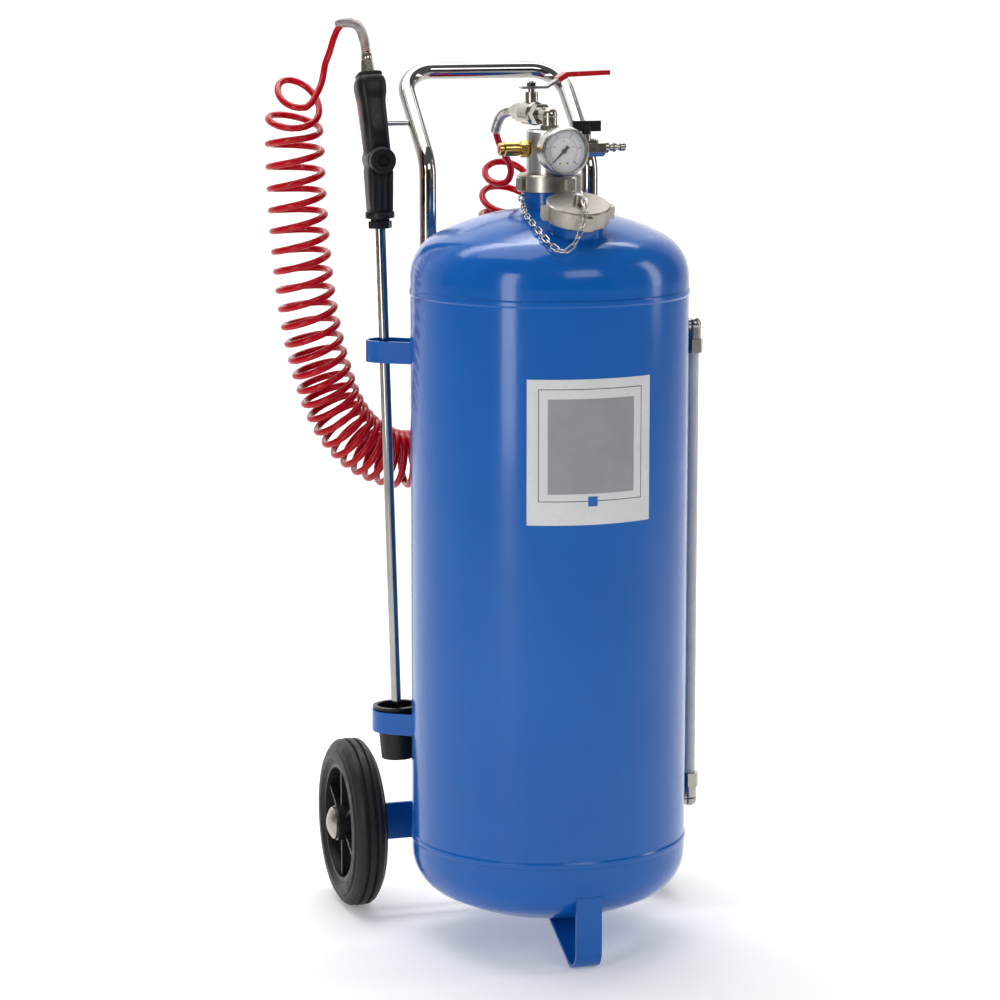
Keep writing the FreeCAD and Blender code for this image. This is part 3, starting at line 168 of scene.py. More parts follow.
def wound(track, radius, pitch, per_turn, phase=0.0, longest=0.004, lean=None, spoke=None):
    """A helix round track, whose radius, pitch and lean are functions of the distance along it.

    lean is how much a turn's right side and its back stand up for each unit of their reach,
    and spoke is the direction outwards where that isn't square to the track.
    """
    distance, points = 0.0, []
    while True:
        place, (_, across, other) = track.at(distance)
        outward = across * math.cos(phase) + other * math.sin(phase)
        offset = (spoke(distance, phase, outward) if spoke else outward) * radius(distance)
        side_lean, back_lean = lean(distance) if lean else (0.0, 0.0)
        points.append(place + offset + UP * (offset.x * side_lean + offset.y * back_lean))
        if distance >= track.length:
            return points
        step = min(longest, pitch(distance) / per_turn, track.length - distance + 1e-9)
        phase += TURN * step / pitch(distance)
        distance += step


# ---------------------------------------------------------------------------------------- meshes


def ring_verts(bm, centre, across, other, radius, sides):
    turns = [TURN * k / sides for k in range(sides)]
    return [bm.verts.new(centre + (across * math.cos(a) + other * math.sin(a)) * radius)
            for a in turns]


def bridge(bm, low, high, slot=0):
    count = len(low)
    for k in range(count):
        face = bm.faces.new((low[k], low[(k + 1) % count], high[(k + 1) % count], high[k]))
        face.material_index = slot
        face.smooth = True


def add_tube(bm, line, radius, sides, closed=False, side=None):
    """A round tube along line, capped at its ends unless the line closes on itself."""
    side = side or (line[1] - line[0]).orthogonal()
    if closed:
        centre = sum(line, Vector()) / len(line)
        normal = (line[0] - centre).cross(line[1] - centre).normalized()
        rings = []
        for i, point in enumerate(line):
            along = (line[(i + 1) % len(line)] - line[i - 1]).normalized()
            rings.append(ring_verts(bm, point, normal, along.cross(normal), radius, sides))
        for low, high in zip(rings, rings[1:] + rings[:1]):
            bridge(bm, low, high)
        return
    rings = []
    for i, (_, across, other) in enumerate(carried(line, side)):
        wide = radius(i) if callable(radius) else radius
        rings.append(ring_verts(bm, line[i], across, other, wide, sides))
    for low, high in zip(rings, rings[1:]):
        bridge(bm, low, high)
    bm.faces.new(rings[0][::-1])
    bm.faces.new(rings[-1])


def add_turned(bm, profile, place, sides=48, slot=0):
    """A surface of revolution: profile is (distance from the axis, height) from end to end."""
    rings = []
    for distance, height in profile:
        if distance < 1e-7:
            rings.append([bm.verts.new(place @ Vector((0, 0, height)))])
            continue
        rings.append([bm.verts.new(place @ Vector((distance * math.cos(TURN * k / sides),
                                                   distance * math.sin(TURN * k / sides),
                                                   height))) for k in range(sides)])
    for low, high in zip(rings, rings[1:]):
        for k in range(sides):
            corners = [low[k % len(low)], low[(k + 1) % len(low)],
                       high[(k + 1) % len(high)], high[k % len(high)]]
            unique = list(dict.fromkeys(corners))
            if len(unique) > 2:
                face = bm.faces.new(unique)
                face.smooth = True
                face.material_index = slot


def finished(name, bm, body, slot, *materials):
    """The mesh as a piece with its materials, riding on a body unless that is None."""
    bmesh.ops.recalc_face_normals(bm, faces=bm.faces)
    mesh = bpy.data.meshes.new(name)
    bm.to_mesh(mesh)
    bm.free()
    for item in materials:
        mesh.materials.append(item)
    piece = linked(bpy.data.objects.new(name, mesh))
    if body:
        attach(piece, body)
    return piece


# ------------------------------------------------------------------------------------- materials


def add(tree, kind, values=None, **settings):
    """A shader node with its settings, and its inputs set or joined."""
    item = tree.nodes.new(kind)
    for key, value in settings.items():
        setattr(item, key, value)
    for key, value in (values or {}).items():
        if isinstance(value, bpy.types.NodeSocket):
            tree.links.new(value, item.inputs[key])
        else:
            item.inputs[key].default_value = value
    return item


def material(name, colour, tint, rough, spread=0.06, metal=0.0, spots=30.0, grain=1200.0,
             depth=0.00003, stretch=(1, 1, 1), edge=0.0004, **inputs):
    """A surface whose colour and gloss drift from place to place, with a fine grain.

    colour and tint are the two ends of the drift, grain is the size of the relief and depth its
    height in metres, stretch draws the grain out, and edge is the radius that catches the light.
    """
    item = bpy.data.materials.new(name)
    item.use_nodes = True
    tree = item.node_tree
    surface = tree.nodes["Principled BSDF"]
    place = add(tree, "ShaderNodeTexCoord").outputs["Object"]
    drawn = add(tree, "ShaderNodeMapping", {"Vector": place, "Scale": stretch}).outputs["Vector"]
    blotches = add(tree, "ShaderNodeTexNoise", {"Vector": place, "Scale": spots, "Detail": 5.0})
    drift = add(tree, "ShaderNodeMapRange", {"Value": blotches.outputs["Fac"],
                                             "From Min": 0.35, "From Max": 0.65})
    mixed = add(tree, "ShaderNodeMix", {"Factor": drift.outputs["Result"]}, data_type="RGBA")
    mixed.inputs[6].default_value = (*colour, 1)
    mixed.inputs[7].default_value = (*tint, 1)
    tree.links.new(mixed.outputs[2], surface.inputs["Base Color"])
    fine = add(tree, "ShaderNodeTexNoise", {"Vector": drawn, "Scale": grain, "Detail": 3.0})
    gloss = add(tree, "ShaderNodeTexNoise", {"Vector": drawn, "Scale": spots * 4, "Detail": 4.0})
    shine = add(tree, "ShaderNodeMapRange", {"Value": gloss.outputs["Fac"], "From Min": 0.3,
                                             "From Max": 0.7, "To Min": rough - spread,
                                             "To Max": rough + spread})
    tree.links.new(shine.outputs["Result"], surface.inputs["Roughness"])
    rounded = add(tree, "ShaderNodeBevel", {"Radius": edge}, samples=4)
    relief = add(tree, "ShaderNodeBump", {"Height": fine.outputs["Fac"], "Distance": depth,
                                          "Normal": rounded.outputs["Normal"]})
    tree.links.new(relief.outputs["Normal"], surface.inputs["Normal"])
    surface.inputs["Metallic"].default_value = metal
    for key, value in inputs.items():
        surface.inputs[key.replace("_", " ")].default_value = value
    return item


def make_materials():
    brushed = {"stretch": (1, 1, 0.06), "grain": 900.0}
    return {
        "paint": material("blue_enamel", (0.002, 0.100, 0.41), (0.004, 0.112, 0.44), 0.17, 0.03,
                          spots=6, grain=260, depth=0.00006, edge=0.0008,
                          Coat_Weight=0.12, Coat_Roughness=0.06, Specular_IOR_Level=0.32),
        "chrome": material("chrome_plate", (0.44, 0.43, 0.41), (0.36, 0.35, 0.33), 0.08, 0.03, 1.0,
                           spots=18, grain=150, depth=0.00001),
        "satin": material("satin_nickel", (0.41, 0.38, 0.34), (0.37, 0.34, 0.30), 0.32, 0.05, 1.0,
                          spots=110, depth=0.00002),
        "steel": material("brushed_steel", (0.50, 0.49, 0.47), (0.42, 0.41, 0.39), 0.27, 0.06, 1.0,
                          depth=0.00002, **brushed),
        "nickel": material("plated_brass", (0.46, 0.43, 0.38), (0.40, 0.37, 0.33), 0.21, 0.05, 1.0,
                           spots=90, depth=0.00003),
        "brass": material("brass", (0.78, 0.52, 0.18), (0.58, 0.36, 0.10), 0.20, 0.06, 1.0,
                          spots=90, depth=0.00002),
        "steel_wire": material("steel_wire", (0.62, 0.60, 0.57), (0.42, 0.40, 0.38), 0.22, 0.08,
                               1.0, spots=120, depth=0.00002),
        "plastic": material("black_plastic", (0.006, 0.006, 0.007), (0.011, 0.011, 0.012), 0.38,
                            0.05, spots=40, Specular_IOR_Level=0.28, grain=1600, depth=0.00008, edge=0.0009),
        "rubber": material("tyre_rubber", (0.008, 0.008, 0.009), (0.015, 0.015, 0.016), 0.50, 0.08,
                           spots=25, Specular_IOR_Level=0.3, grain=700, depth=0.00012, edge=0.001),
        "rim": material("rim_plastic", (0.007, 0.007, 0.008), (0.013, 0.013, 0.013), 0.38, 0.06,
                        spots=30, Specular_IOR_Level=0.3, grain=1300, depth=0.00006),
        "seal": material("seal_rubber", (0.02, 0.02, 0.02), (0.035, 0.035, 0.035), 0.6, 0.06),
        "hose": material("polyurethane_hose", (0.50, 0.0, 0.008), (0.42, 0.0, 0.006), 0.18,
                         0.04, spots=30, grain=500, depth=0.00004, Specular_IOR_Level=0.22,
                         Coat_Weight=0.1, Coat_Roughness=0.05),
        "orange": material("orange_plastic", (0.85, 0.27, 0.015), (0.76, 0.22, 0.01), 0.36, 0.05),
        "red_grip": material("dipped_vinyl", (0.52, 0.008, 0.014), (0.42, 0.005, 0.01), 0.24, 0.05,
                             spots=50, grain=500, depth=0.00006, Coat_Weight=0.3),
        "red_disc": material("red_cap", (0.50, 0.012, 0.012), (0.40, 0.008, 0.008), 0.35),
        "dial": material("dial_face", (0.80, 0.80, 0.82), (0.76, 0.76, 0.79), 0.45, 0.04,
                         spots=50, depth=0.00001),
        "ink": material("black_ink", (0.012, 0.012, 0.014), (0.02, 0.02, 0.022), 0.45),
        "red_ink": material("red_ink", (0.50, 0.02, 0.03), (0.42, 0.02, 0.03), 0.45),
        "glass": material("gauge_glass", (0.9, 0.92, 0.93), (0.86, 0.88, 0.9), 0.03, 0.01,
                          depth=0.0, Alpha=0.05),
        "tube": material("milky_tube", (0.80, 0.83, 0.80), (0.72, 0.76, 0.74), 0.22, 0.05,
                         spots=60, grain=400, Transmission_Weight=0.35, Subsurface_Weight=0.3,
                         Subsurface_Scale=0.004),
        "film": material("label_film", (0.68, 0.69, 0.70), (0.64, 0.65, 0.66), 0.30, 0.04,
                         spots=20, depth=0.00002, Coat_Weight=0.3),
        "film_grey": material("label_grey", (0.30, 0.31, 0.33), (0.27, 0.28, 0.30), 0.32, 0.04),
        "film_dark": material("label_line", (0.05, 0.05, 0.06), (0.06, 0.06, 0.07), 0.35, 0.04),
        "film_blue": material("label_blue", (0.02, 0.12, 0.42), (0.02, 0.10, 0.38), 0.35, 0.04),
    }


USES = {
    "paint": ["tank_shell", "top_head", "bottom_head", "centre_neck", "filler_neck",
              "tank_brackets", "front_foot", "axle_bracket"],
    "chrome": ["push_handle", "lance_tube", "outlet_ball", "inlet_ball"],
    "satin": ["ring_nut", "filler_cap", "cap_post", "hub_caps"],
    "steel": ["manifold_body", "gauge_case", "gauge_bezel", "outlet_lever", "axle", "dip_tube",
              "gun_valve_pin", "trigger_pin"],
    "nickel": ["outlet_elbow", "outlet_valve_body", "outlet_hose_nut", "inlet_valve_body",
               "inlet_plug", "gun_swivel", "level_fittings"],
    "brass": ["relief_body", "relief_poppet", "gauge_movement", "lance_nozzle"],
    "steel_wire": ["gun_valve_spring", "relief_spring", "gun_spring_guard",
                   "valve_spring_guard", "filler_chain"],
    "plastic": ["gun_body", "gun_plug", "lance_nut", "lance_cup", "inlet_handle"],
    "rubber": ["left_tyre", "right_tyre"],
    "rim": ["left_rim", "right_rim"],
    "seal": ["manifold_gasket", "filler_gasket"],
    "hose": ["hose_coil", "hose_lead_gun", "hose_lead_valve"],
    "orange": ["gun_trigger"],
    "red_grip": ["outlet_grip"],
    "dial": ["gauge_dial"],
    "ink": ["gauge_pointer"],
    "glass": ["gauge_glass"],
    "tube": ["level_tube"],
}


def dress_nodes():
    """Gives each CAD node its material, in every slot it has."""
    for name, members in USES.items():
        for member in members:
            mesh = nodes[member].data
            if not mesh.materials:
                mesh.materials.append(looks[name])
            for i in range(len(mesh.materials)):
                mesh.materials[i] = looks[name]


# ---------------------------------------------------------------------------------------- the hose

HOSE_RADIUS = 0.004
COIL_RADIUS = 0.031
GUN_EXIT = (-169.6, 159.3, 1013.7)
GUN_LEAD = [(-170.1, 166, 1034.1), (-179, 176, 1051), (-196.5, 188.5, 1046.5),
            (-203, 186, 1024), (-211, 180, 1003), (-224, 176, 986)]
COIL = [(-243, 180, 972), (-251, 184, 930), (-243, 184, 773), (-227, 186, 668),
        (-192, 194, 570), (-117, 206, 524), (-40, 206, 560), (-4, 199, 650), (9, 197, 750),
        (13, 198, 860)]
VALVE_LEAD = [(-15.7, 89.2, 949), (-18.5, 105, 948.5), (-23, 121, 940), (-24, 131, 924),
              (-17, 138, 907), (-4, 148, 890), (7, 164, 874), (12, 186, 864.3)]

# Along the hose's route, from where it starts to wind: how far one turn is from the next.
PITCHES = [(0, 0.14), (0.028, 0.14), (0.030, 0.012), (0.034, 0.012), (0.036, 0.044),
           (0.052, 0.044), (0.056, 0.0265), (0.2, 0.0235), (0.3, 0.020), (0.4, 0.016),
           (0.5, 0.0125), (0.62, 0.0115), (0.75, 0.015), (0.9, 0.021), (1.05, 0.029)]
# How much the turns' backs stand up: by distance from where the winding starts, and by distance
# short of the coil's last point.
GUN_LEANS = [(0.033, 0.74), (0.061, 0.47), (0.088, 0.0)]
VALVE_LEANS = [(0.004, 0.8), (0.055, 0.0)]
SIDE_LEAN = 0.07
START_TURN = 0.05       # of a turn, past the right side, where the winding starts
START = 0.034           # how far before the coil's first point the winding starts
ENTRY = 0.030           # the stretch in which the turns grow to their full radius
EXIT = 0.055            # the stretch past the coil's last point in which they shrink away
EXIT_PITCH = 0.085
LEVEL_ENTRY = 0.1       # turns stay level this far past the start of the winding,
LEVEL_EXIT = 0.06       # and from this far short of the coil's last point,
LEVEL_BLEND = 0.05      # and come square to the route over this stretch
TURN_POINTS = 24
SPLIT = (-117, 206, 530)


def softened(points, centre, reach, count):
    """Eases the bends of a line near centre, by the mean of count points on either side."""
    sharp = list(points)
    for i in range(count, len(sharp) - count):
        share = ease(1.5 - 1.5 * (sharp[i] - centre).length / reach)
        mean = sum(sharp[i - count:i + count + 1], Vector()) / (2 * count + 1)
        points[i] = sharp[i].lerp(mean, share)


def hose_points():
    """The hose's own line, and where it passes behind the tank."""
    route = [GUN_EXIT, *GUN_LEAD, *COIL, *VALVE_LEAD[::-1]]
    track = Track(smooth_line("hose_route", [spot(*point) for point in route]))
    first = track.nearest(spot(*COIL[0])) - START
    last = track.nearest(spot(*COIL[-1]))

    def radius(distance):
        grown = ease((distance - first) / ENTRY)
        return COIL_RADIUS * grown * ease((last + EXIT - distance) / EXIT)

    def pitch(distance):
        return EXIT_PITCH if distance > last else stepped(PITCHES, distance - first)

    def lean(distance):
        back = stepped(GUN_LEANS, distance - first) + stepped(VALVE_LEANS, last - distance)
        return SIDE_LEAN, back

    def zero_phase(point):
        _, (_, across, other) = track.at(track.nearest(spot(*point)))
        return math.atan2(RIGHT.dot(other), RIGHT.dot(across))

    going_down = zero_phase(COIL[1])
    going_up = zero_phase(COIL[-2])

    def spoke(distance, phase, outward):
        """Level where the route bends at the coil's two ends, so that their turns stay round."""
        if distance < track.length / 2:
            level = ease((first + LEVEL_ENTRY - distance) / LEVEL_BLEND)
            angle, other = phase - going_down, FRONT
        else:
            level = ease((distance - last + LEVEL_EXIT) / LEVEL_BLEND)
            angle, other = phase - going_up, -FRONT
        flat = RIGHT * math.cos(angle) + other * math.sin(angle)
        return outward.lerp(flat, level)

    start = going_down + TURN * (START_TURN - first / PITCHES[0][1])
    points = wound(track, radius, pitch, TURN_POINTS, start, lean=lean, spoke=spoke)
    softened(points, track.at(first)[0], reach=0.085, count=4)
    softened(points, track.at(last + EXIT)[0], reach=0.05, count=5)
    middle = spot(*SPLIT)
    cut = min(range(len(points)), key=lambda i: (points[i] - middle).length)
    return points, cut


def length_of(points):
    return sum((b - a).length for a, b in zip(points, points[1:]))


def guard(name, route, near, far, body, replaced):
    """A spring of bright wire over the hose, its pitch going from near to far along it."""
    wire = 0.0008
    outside = 0.0062
    track = Track(smooth_line(name, [spot(*point) for point in route]))

    def radius(distance):
        return outside - wire

    def pitch(distance):
        return near + (far - near) * ease(distance / track.length / 0.6)

    bm = bmesh.new()
    add_tube(bm, wound(track, radius, pitch, 20, longest=0.001), wire, 8)
    piece = finished(name, bm, body, "spring_steel", looks["steel_wire"])
    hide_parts(replaced)
    return piece


def hose():
    """The hose in two halves that meet behind the tank, and the wire guards at its two ends.

    The half from the gun is baked in place and rides on no body, and the other stays with the tank.
    """
    points, cut = hose_points()
    halves = {"hose_from_gun": points[:cut + 1], "hose_from_valve": points[cut:]}
    made = {}
    side = RIGHT
    for name, line in halves.items():
        bm = bmesh.new()
        add_tube(bm, line, HOSE_RADIUS, 14, side=side)
        side = carried(line, side)[-1][1]
        made[name] = finished(name, bm, None, "hose_red", looks["hose"])
    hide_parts("hose_coil", "hose_lead_gun")
    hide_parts("hose_lead_valve")
    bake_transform(made["hose_from_gun"])
    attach(made["hose_from_valve"], "root")
    gun_guard = guard("gun_guard_wire", [GUN_EXIT, *GUN_LEAD[:3]], 0.0026, 0.0018, "lance",
                      "gun_spring_guard")
    valve_guard = guard("valve_guard_wire", VALVE_LEAD[:4], 0.0019, 0.0018, "root",
                        "valve_spring_guard")
    print("hose length %.2f m" % length_of(points))


# --------------------------------------------------------------------------------------- the chain

CHAIN = [(-36, -12.5, 853), (-41, -36, 846.5), (-46, -62, 842), (-46, -88, 834.5),
         (-44, -112, 825.5), (-41, -132, 816.5), (-34, -147.5, 809.5), (-24, -151.5, 813.5),
         (-15, -149.5, 826), (-9, -147.5, 840), (-4, -141, 853.5), (-1, -127.5, 862.5),
         (0, -120, 867.5)]


def add_link(bm, centre, along, across, reach, half_width, wire):
    """One welded chain link: two straight sides joined by half circles."""
    line = []
    straight = reach - half_width
    for k in range(20):
        angle = TURN * (k + 0.5) / 20
        shift = straight if math.cos(angle) > 0 else -straight
        line.append(centre + along * (shift + half_width * math.cos(angle))
                    + across * half_width * math.sin(angle))
    add_tube(bm, line, wire, 8, closed=True)


def chain():
    """The filler cap's chain, each link turned a right angle from the one before it."""
    pitch, wire, half_width = 0.0102, 0.0008, 0.0029
    eye_radius, eye_wire = 0.0035, 0.001
    track = Track(smooth_line("chain_route", [spot(*point) for point in CHAIN]))
    count = round(track.length / pitch)
    spacing = track.length / count
    bm = bmesh.new()
    for i in range(count + 1):
        place, (along, across, other) = track.at(min(i * spacing, track.length))
        lean = math.radians(40 if i % 2 else -50)
        side = across * math.cos(lean) + other * math.sin(lean)
        add_link(bm, place, along, side, spacing / 2 + wire * 1.6, half_width, wire)
    eye = spot(-34, -4, 857)
    loop = [eye + Vector((math.cos(TURN * k / 20), 0, math.sin(TURN * k / 20))) * eye_radius
            for k in range(20)]
    add_tube(bm, loop, eye_wire, 8, closed=True)
    piece = finished("chain_links", bm, None, "chain_steel", looks["steel_wire"])
    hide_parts("filler_chain")
    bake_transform(piece)


# ---------------------------------------------------------------------------------- label and dial


def label():
    """A printed sticker wrapped on the front of the tank."""
    film_radius = TANK_RADIUS + 0.0003
    half, low, high = 0.0735, 0.5105, 0.6715
    line_half, line = 0.0610, 0.0009
    line_low, line_high = low + 0.026, high - 0.0105
    grey_half, grey_low, grey_high = 0.0505, low + 0.0345, high - 0.0215
    square = 0.0055
    across = sorted({s * v for s in (-1, 1)
                     for v in (half, line_half, line_half - line, grey_half, square)}
                    | {half * k / 16 for k in range(-15, 16)})
    rows = sorted({low, high, line_low, line_low + line, line_high, line_high - line, grey_low,
                   grey_high, line_low - square, line_low + square})

    def slot_at(u, v):
        if abs(u) < square and abs(v - line_low) < square:
            return 3
        if abs(u) < grey_half and grey_low < v < grey_high:
            return 1
        inside = abs(u) < line_half and line_low < v < line_high
        within = abs(u) < line_half - line and line_low + line < v < line_high - line
        return 2 if inside and not within else 0

    bm = bmesh.new()
    grid = [[bm.verts.new((film_radius * math.sin(u / film_radius),
                           TANK_Y - film_radius * math.cos(u / film_radius), v))
             for v in rows] for u in across]
    for i in range(len(across) - 1):
        for j in range(len(rows) - 1):
            face = bm.faces.new((grid[i][j], grid[i + 1][j], grid[i + 1][j + 1], grid[i][j + 1]))
            face.smooth = True
            face.material_index = slot_at((across[i] + across[i + 1]) / 2,
                                          (rows[j] + rows[j + 1]) / 2)
    finished("front_label", bm, "root", "tank_paint", looks["film"], looks["film_grey"],
             looks["film_dark"], looks["film_blue"])


def add_text(bm, body, size, place, slot):
    """A flat figure standing on the dial."""
    curve = bpy.data.curves.new(body, "FONT")
    curve.body = body
    curve.size = size
    curve.align_x = "CENTER"
    curve.align_y = "CENTER"
    holder = linked(bpy.data.objects.new(body, curve))
    bpy.context.view_layer.update()
    mesh = bpy.data.meshes.new_from_object(holder)
    mesh.transform(place)
    before = len(bm.faces)
    bm.from_mesh(mesh)
    bm.faces.ensure_lookup_table()
    for face in bm.faces[before:]:
        face.material_index = slot
    bpy.data.objects.remove(holder)
    bpy.data.meshes.remove(mesh)


def dial_print():
    """Marks, figures and screws on the gauge's dial."""
    low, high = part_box("gauge_dial")
    centre = Vector(((low.x + high.x) / 2, low.y - 0.00006, (low.z + high.z) / 2))
    reach = (high.x - low.x) / 2
    upright = Matrix.Translation(centre) @ Matrix.Rotation(math.pi / 2, 4, "X")
    bm = bmesh.new()

    def mark(angle, inner, outer, half, slot):
        turn = Matrix.Rotation(angle, 4, "Z")
        corners = [(inner, -half), (outer, -half), (outer, half), (inner, half)]
        face = bm.faces.new([bm.verts.new(upright @ turn @ Vector((x, y, 0)))
                             for x, y in corners])
        face.material_index = slot

    sweep = math.radians(270)
    first = math.radians(225)
    for k in range(51):
        angle = first - sweep * k / 50
        tall = 0.10 if k % 10 == 0 else 0.06 if k % 5 == 0 else 0.035
        mark(angle, reach * (0.90 - tall), reach * 0.90, 0.0004 if k % 10 == 0 else 0.0002, 0)
    for k in range(31):
        angle = first - sweep * k / 30
        mark(angle, reach * 0.62, reach * (0.66 if k % 5 else 0.68), 0.00022, 1)
        if k:
            mark(angle + sweep / 60, reach * 0.617, reach * 0.627, 0.0011, 1)
    for k in range(6):
        angle = first - sweep * k / 5
        spin = Matrix.Translation(Vector((math.cos(angle), math.sin(angle), 0)) * reach * 0.72)
        add_text(bm, str(2 * k), 0.0036, upright @ spin, 0)
    for k in range(1, 4):
        angle = first - sweep * k / 4
        spin = Matrix.Translation(Vector((math.cos(angle), math.sin(angle), 0)) * reach * 0.48)
        add_text(bm, str(40 * k), 0.0026, upright @ spin, 1)
    for x in (-0.0042, 0.0042):
        top = Matrix.Translation(centre + Vector((x, 0, -0.0135)))
        place = top @ Matrix.Rotation(math.pi / 2, 4, "X")
        add_turned(bm, [(0, 0.0007), (0.0009, 0.0006), (0.0013, 0.0002), (0.0013, -0.0001)],
                   place, 20, 2)
    finished("dial_print", bm, "root", "dial_face", looks["ink"], looks["red_ink"],
             looks["brass"])


def relief_disc():
    """The red disc pressed into the end of the relief valve's knob."""
    low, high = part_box("relief_poppet")
    centre = Vector((low.x, (low.y + high.y) / 2, (low.z + high.z) / 2))
    place = Matrix.Translation(centre) @ Matrix.Rotation(-math.pi / 2, 4, "Y")
    bm = bmesh.new()
    add_turned(bm, [(0, 0.0005), (0.0038, 0.0005), (0.0044, 0.0003), (0.0046, -0.0002)], place, 32)
    finished("relief_disc", bm, "relief", "relief_brass", looks["red_disc"])


# ------------------------------------------------------------------------------------ the spray gun


def joint(name):
    return next(item for item in frame["joints"] if item["name"] == name)


VALVE_HEIGHT = 0.078        # the gun's valve, above the lance's nut
GRIP_LEAN = math.radians(17)


def gun_place():
    """The gun's own frame: Z up the lance, Y towards the trigger, from the lance's nut."""
    pivot_out, pivot_height = 0.025, 0.058
    x = Vector(joint("trigger_pull")["axis"])
    z = Vector(joint("lance_lift")["axis"])
    y = z.cross(x)
    origin = Vector(joint("trigger_pull")["pos_m"]) - y * pivot_out - z * pivot_height
    turned = Matrix((x, y, z)).transposed().to_4x4()
    return Matrix.Translation(origin) @ turned


def grip_place():
    """The grip's frame: from the gun's valve, Z up the grip, which leans back from the lance."""
    lift = Matrix.Translation((0, 0, VALVE_HEIGHT))
    return gun_place() @ lift @ Matrix.Rotation(-GRIP_LEAN, 4, "X")


def add_loft(bm, sections, place, squareness=3.4, count=48):
    """A closed skin through rounded rectangles: (height, half width, half depth, middle)."""
    rings = []
    for height, wide, deep, middle in sections:
        ring = []
        for k in range(count):
            c, s = math.cos(TURN * k / count), math.sin(TURN * k / count)
            x = math.copysign(abs(c) ** (2 / squareness), c) * wide
            y = math.copysign(abs(s) ** (2 / squareness), s) * deep + middle
            ring.append(bm.verts.new(place @ Vector((x, y, height))))
        rings.append(ring)
    for low, high in zip(rings, rings[1:]):
        bridge(bm, low, high)
    bm.faces.new(rings[0][::-1])
    bm.faces.new(rings[-1])


def millimetres(rows):
    return [tuple(value / 1000 for value in row) for row in rows]


def gun_shell():
    """The gun's moulded body: fluted block, valve housing, grip and the soft cuff on it."""
    place = gun_place()
    bm = bmesh.new()
    add_loft(bm, millimetres([(2, 14.2, 16.4, 0), (40, 14.6, 16.2, 0), (66, 14.9, 16, 0),
                              (71, 15.6, 16.9, 0), (76, 16.8, 18.2, 0), (84, 17.5, 19, 0),
                              (90, 17.3, 18.8, 0), (94.5, 15.9, 17.4, 0), (96.5, 14, 15.6, 0),
                              (97.4, 13.6, 15.2, 0), (98, 14.6, 16, 0), (100.4, 14.4, 15.8, 0),
                              (101, 13.8, 15.2, 0)]), grip_place())
    head = place @ Matrix.Translation((0, 0, VALVE_HEIGHT))
    barrel = head @ Matrix.Rotation(math.pi / 2, 4, "X")
    add_turned(bm, millimetres([(0, -17), (13, -17), (15.4, -14), (15.6, 10), (15.4, 15.6),
                                (14.8, 16.9), (0, 16.9)]), barrel)
    add_loft(bm, millimetres([(19, 12.6, 13.6, 0), (20, 13.6, 14.6, 0), (40, 14.4, 15.4, 0),
                              (64, 15.2, 16.6, 0), (78, 13.5, 16, 0)]), place, 5.0)
    for x in (-10.4, -3.6, 3.6, 10.4):
        rib = place @ Matrix.Translation((x / 1000, -0.0138, 0))
        add_loft(bm, millimetres([(20.5, 1.3, 1.5, 0), (22, 1.5, 2.4, -0.4), (50, 1.7, 2.9, -1.2),
                                  (72, 1.7, 2.9, -1.8)]), rib, 4.0, 16)
    spine = place @ Matrix.Translation((0, 0.0215, 0))
    add_loft(bm, millimetres([(19.5, 3.8, 7.4, 0), (21, 4.1, 7.7, 0), (67, 4.1, 7.7, 0),
                              (68.8, 3.8, 7.2, 0)]), spine, 5.0, 24)
    add_turned(bm, millimetres([(8.1, 0.3), (10.6, 0.3), (11, 0.8), (11, 10.6), (12, 11.3),
                                (15.6, 11.3), (16.6, 12), (16.8, 13.4), (16.8, 17.8),
                                (16.2, 19.2), (12, 19.6)]), place)
    piece = finished("gun_shell", bm, "lance", "gun_plastic", looks["plastic"])
    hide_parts("gun_body")


def gun_fitting():
    """The tapered hexagon at the end of the grip, with the ferrule of the hose."""
    foot = 0.1011
    grip = grip_place()
    bm = bmesh.new()
    corner = 1 / math.cos(math.pi / 6)
    add_turned(bm, [(0.0042, foot), (0.0073 * corner, foot), (0.0075 * corner, foot + 0.0006),
                    (0.0062 * corner, foot + 0.0150), (0.0058 * corner, foot + 0.0164),
                    (0.0042, foot + 0.0164)], grip, 6)
    for face in bm.faces:
        face.smooth = False
    add_turned(bm, [(0.0042, foot + 0.0160), (0.0063, foot + 0.0160), (0.0065, foot + 0.0166),
                    (0.0062, foot + 0.0232), (0.0058, foot + 0.0238), (0.0042, foot + 0.0238)],
               grip, 40)
    piece = finished("gun_fitting", bm, "lance", "swivel_nickel", looks["nickel"])
    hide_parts("gun_swivel")


# ------------------------------------------------------------------------------------- the studio


def stage():
    floor = bpy.data.materials.new("floor")
    floor.use_nodes = True
    surface = floor.node_tree.nodes["Principled BSDF"]
    surface.inputs["Base Color"].default_value = (0.86, 0.86, 0.86, 1)
    surface.inputs["Roughness"].default_value = 0.7
    surface.inputs["Emission Color"].default_value = (1, 1, 1, 1)
    surface.inputs["Emission Strength"].default_value = 0.22
    bm = bmesh.new()
    profile = [(-7, 0), (2.2, 0)]
    profile += [(2.2 + 1.2 * math.sin(a), 1.2 - 1.2 * math.cos(a))
                for a in (math.pi / 2 * k / 12 for k in range(1, 13))]
    profile += [(3.4, 6)]
    rows = [[bm.verts.new((x, y, z)) for x in (-7, 7)] for y, z in profile]
    for low, high in zip(rows, rows[1:]):
        bm.faces.new((low[0], low[1], high[1], high[0])).smooth = True
    mesh = bpy.data.meshes.new("floor")
    bm.to_mesh(mesh)
    bm.free()
    mesh.materials.append(floor)
    linked(bpy.data.objects.new("floor", mesh))


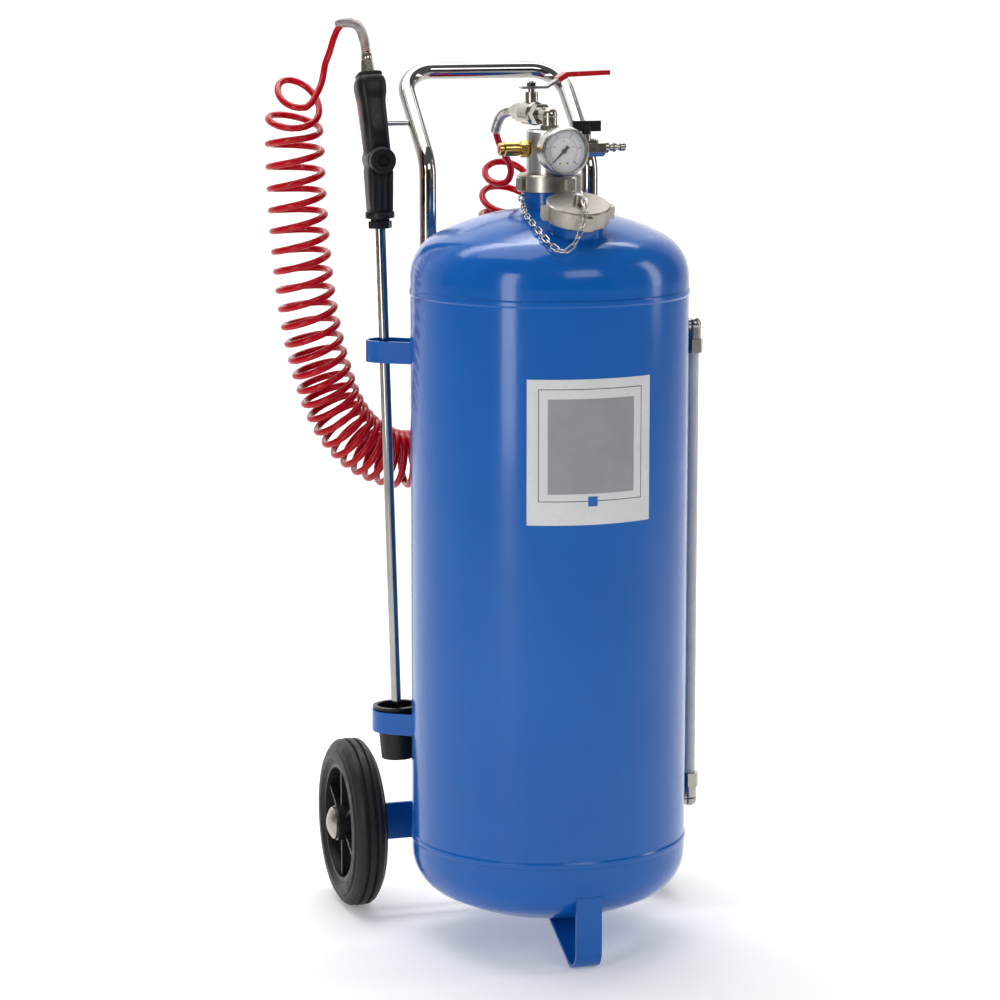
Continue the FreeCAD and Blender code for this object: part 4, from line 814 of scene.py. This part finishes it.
def area_light(name, place, target, wide, tall, power):
    lamp = bpy.data.lights.new(name, "AREA")
    lamp.shape = "RECTANGLE"
    lamp.size = wide
    lamp.size_y = tall
    lamp.energy = power
    holder = linked(bpy.data.objects.new(name, lamp))
    holder.location = place
    holder.rotation_euler = (Vector(target) - Vector(place)).to_track_quat("-Z", "Y").to_euler()


def dark_card():
    """A dark panel behind the viewer, seen only in what shines."""
    bm = bmesh.new()
    corners = [(-3.4, -5.2, 0.35), (3.4, -5.2, 0.35), (3.4, -5.2, 3.2), (-3.4, -5.2, 3.2)]
    bm.faces.new([bm.verts.new(corner) for corner in corners])
    mesh = bpy.data.meshes.new("dark_card")
    bm.to_mesh(mesh)
    bm.free()
    felt = bpy.data.materials.new("dark_felt")
    felt.use_nodes = True
    surface = felt.node_tree.nodes["Principled BSDF"]
    surface.inputs["Base Color"].default_value = (0.05, 0.045, 0.04, 1)
    surface.inputs["Roughness"].default_value = 0.9
    mesh.materials.append(felt)
    card = linked(bpy.data.objects.new("dark_card", mesh))
    card.visible_camera = False
    card.visible_diffuse = False
    card.visible_shadow = False


def lights():
    area_light("left_softbox", (-2.2, -1.9, 1.2), (0, 0, 0.6), 0.6, 2.2, 26)
    area_light("right_softbox", (2.6, -0.6, 1.4), (0, 0, 0.6), 0.5, 2.0, 15)
    area_light("top_softbox", (-0.2, 0.5, 3.0), (0, 0.2, 0.6), 2.6, 1.6, 36)
    area_light("front_softbox", (0.8, -4.0, 3.2), (0, 0, 0.5), 2.2, 1.2, 34)
    area_light("backdrop_wash", (0, 1.6, 3.6), (0, 3.0, 0.8), 5.0, 1.0, 100)
    world = bpy.data.worlds.new("studio")
    world.use_nodes = True
    world.node_tree.nodes["Background"].inputs["Color"].default_value = (0.95, 0.96, 1.0, 1)
    world.node_tree.nodes["Background"].inputs["Strength"].default_value = 0.16
    bpy.context.scene.world = world
    bpy.context.scene.view_settings.view_transform = "Standard"


camera()
looks = make_materials()
hose()
chain()
dress_nodes()
label()
dial_print()
relief_disc()
gun_shell()
gun_fitting()
stage()
dark_card()
lights()
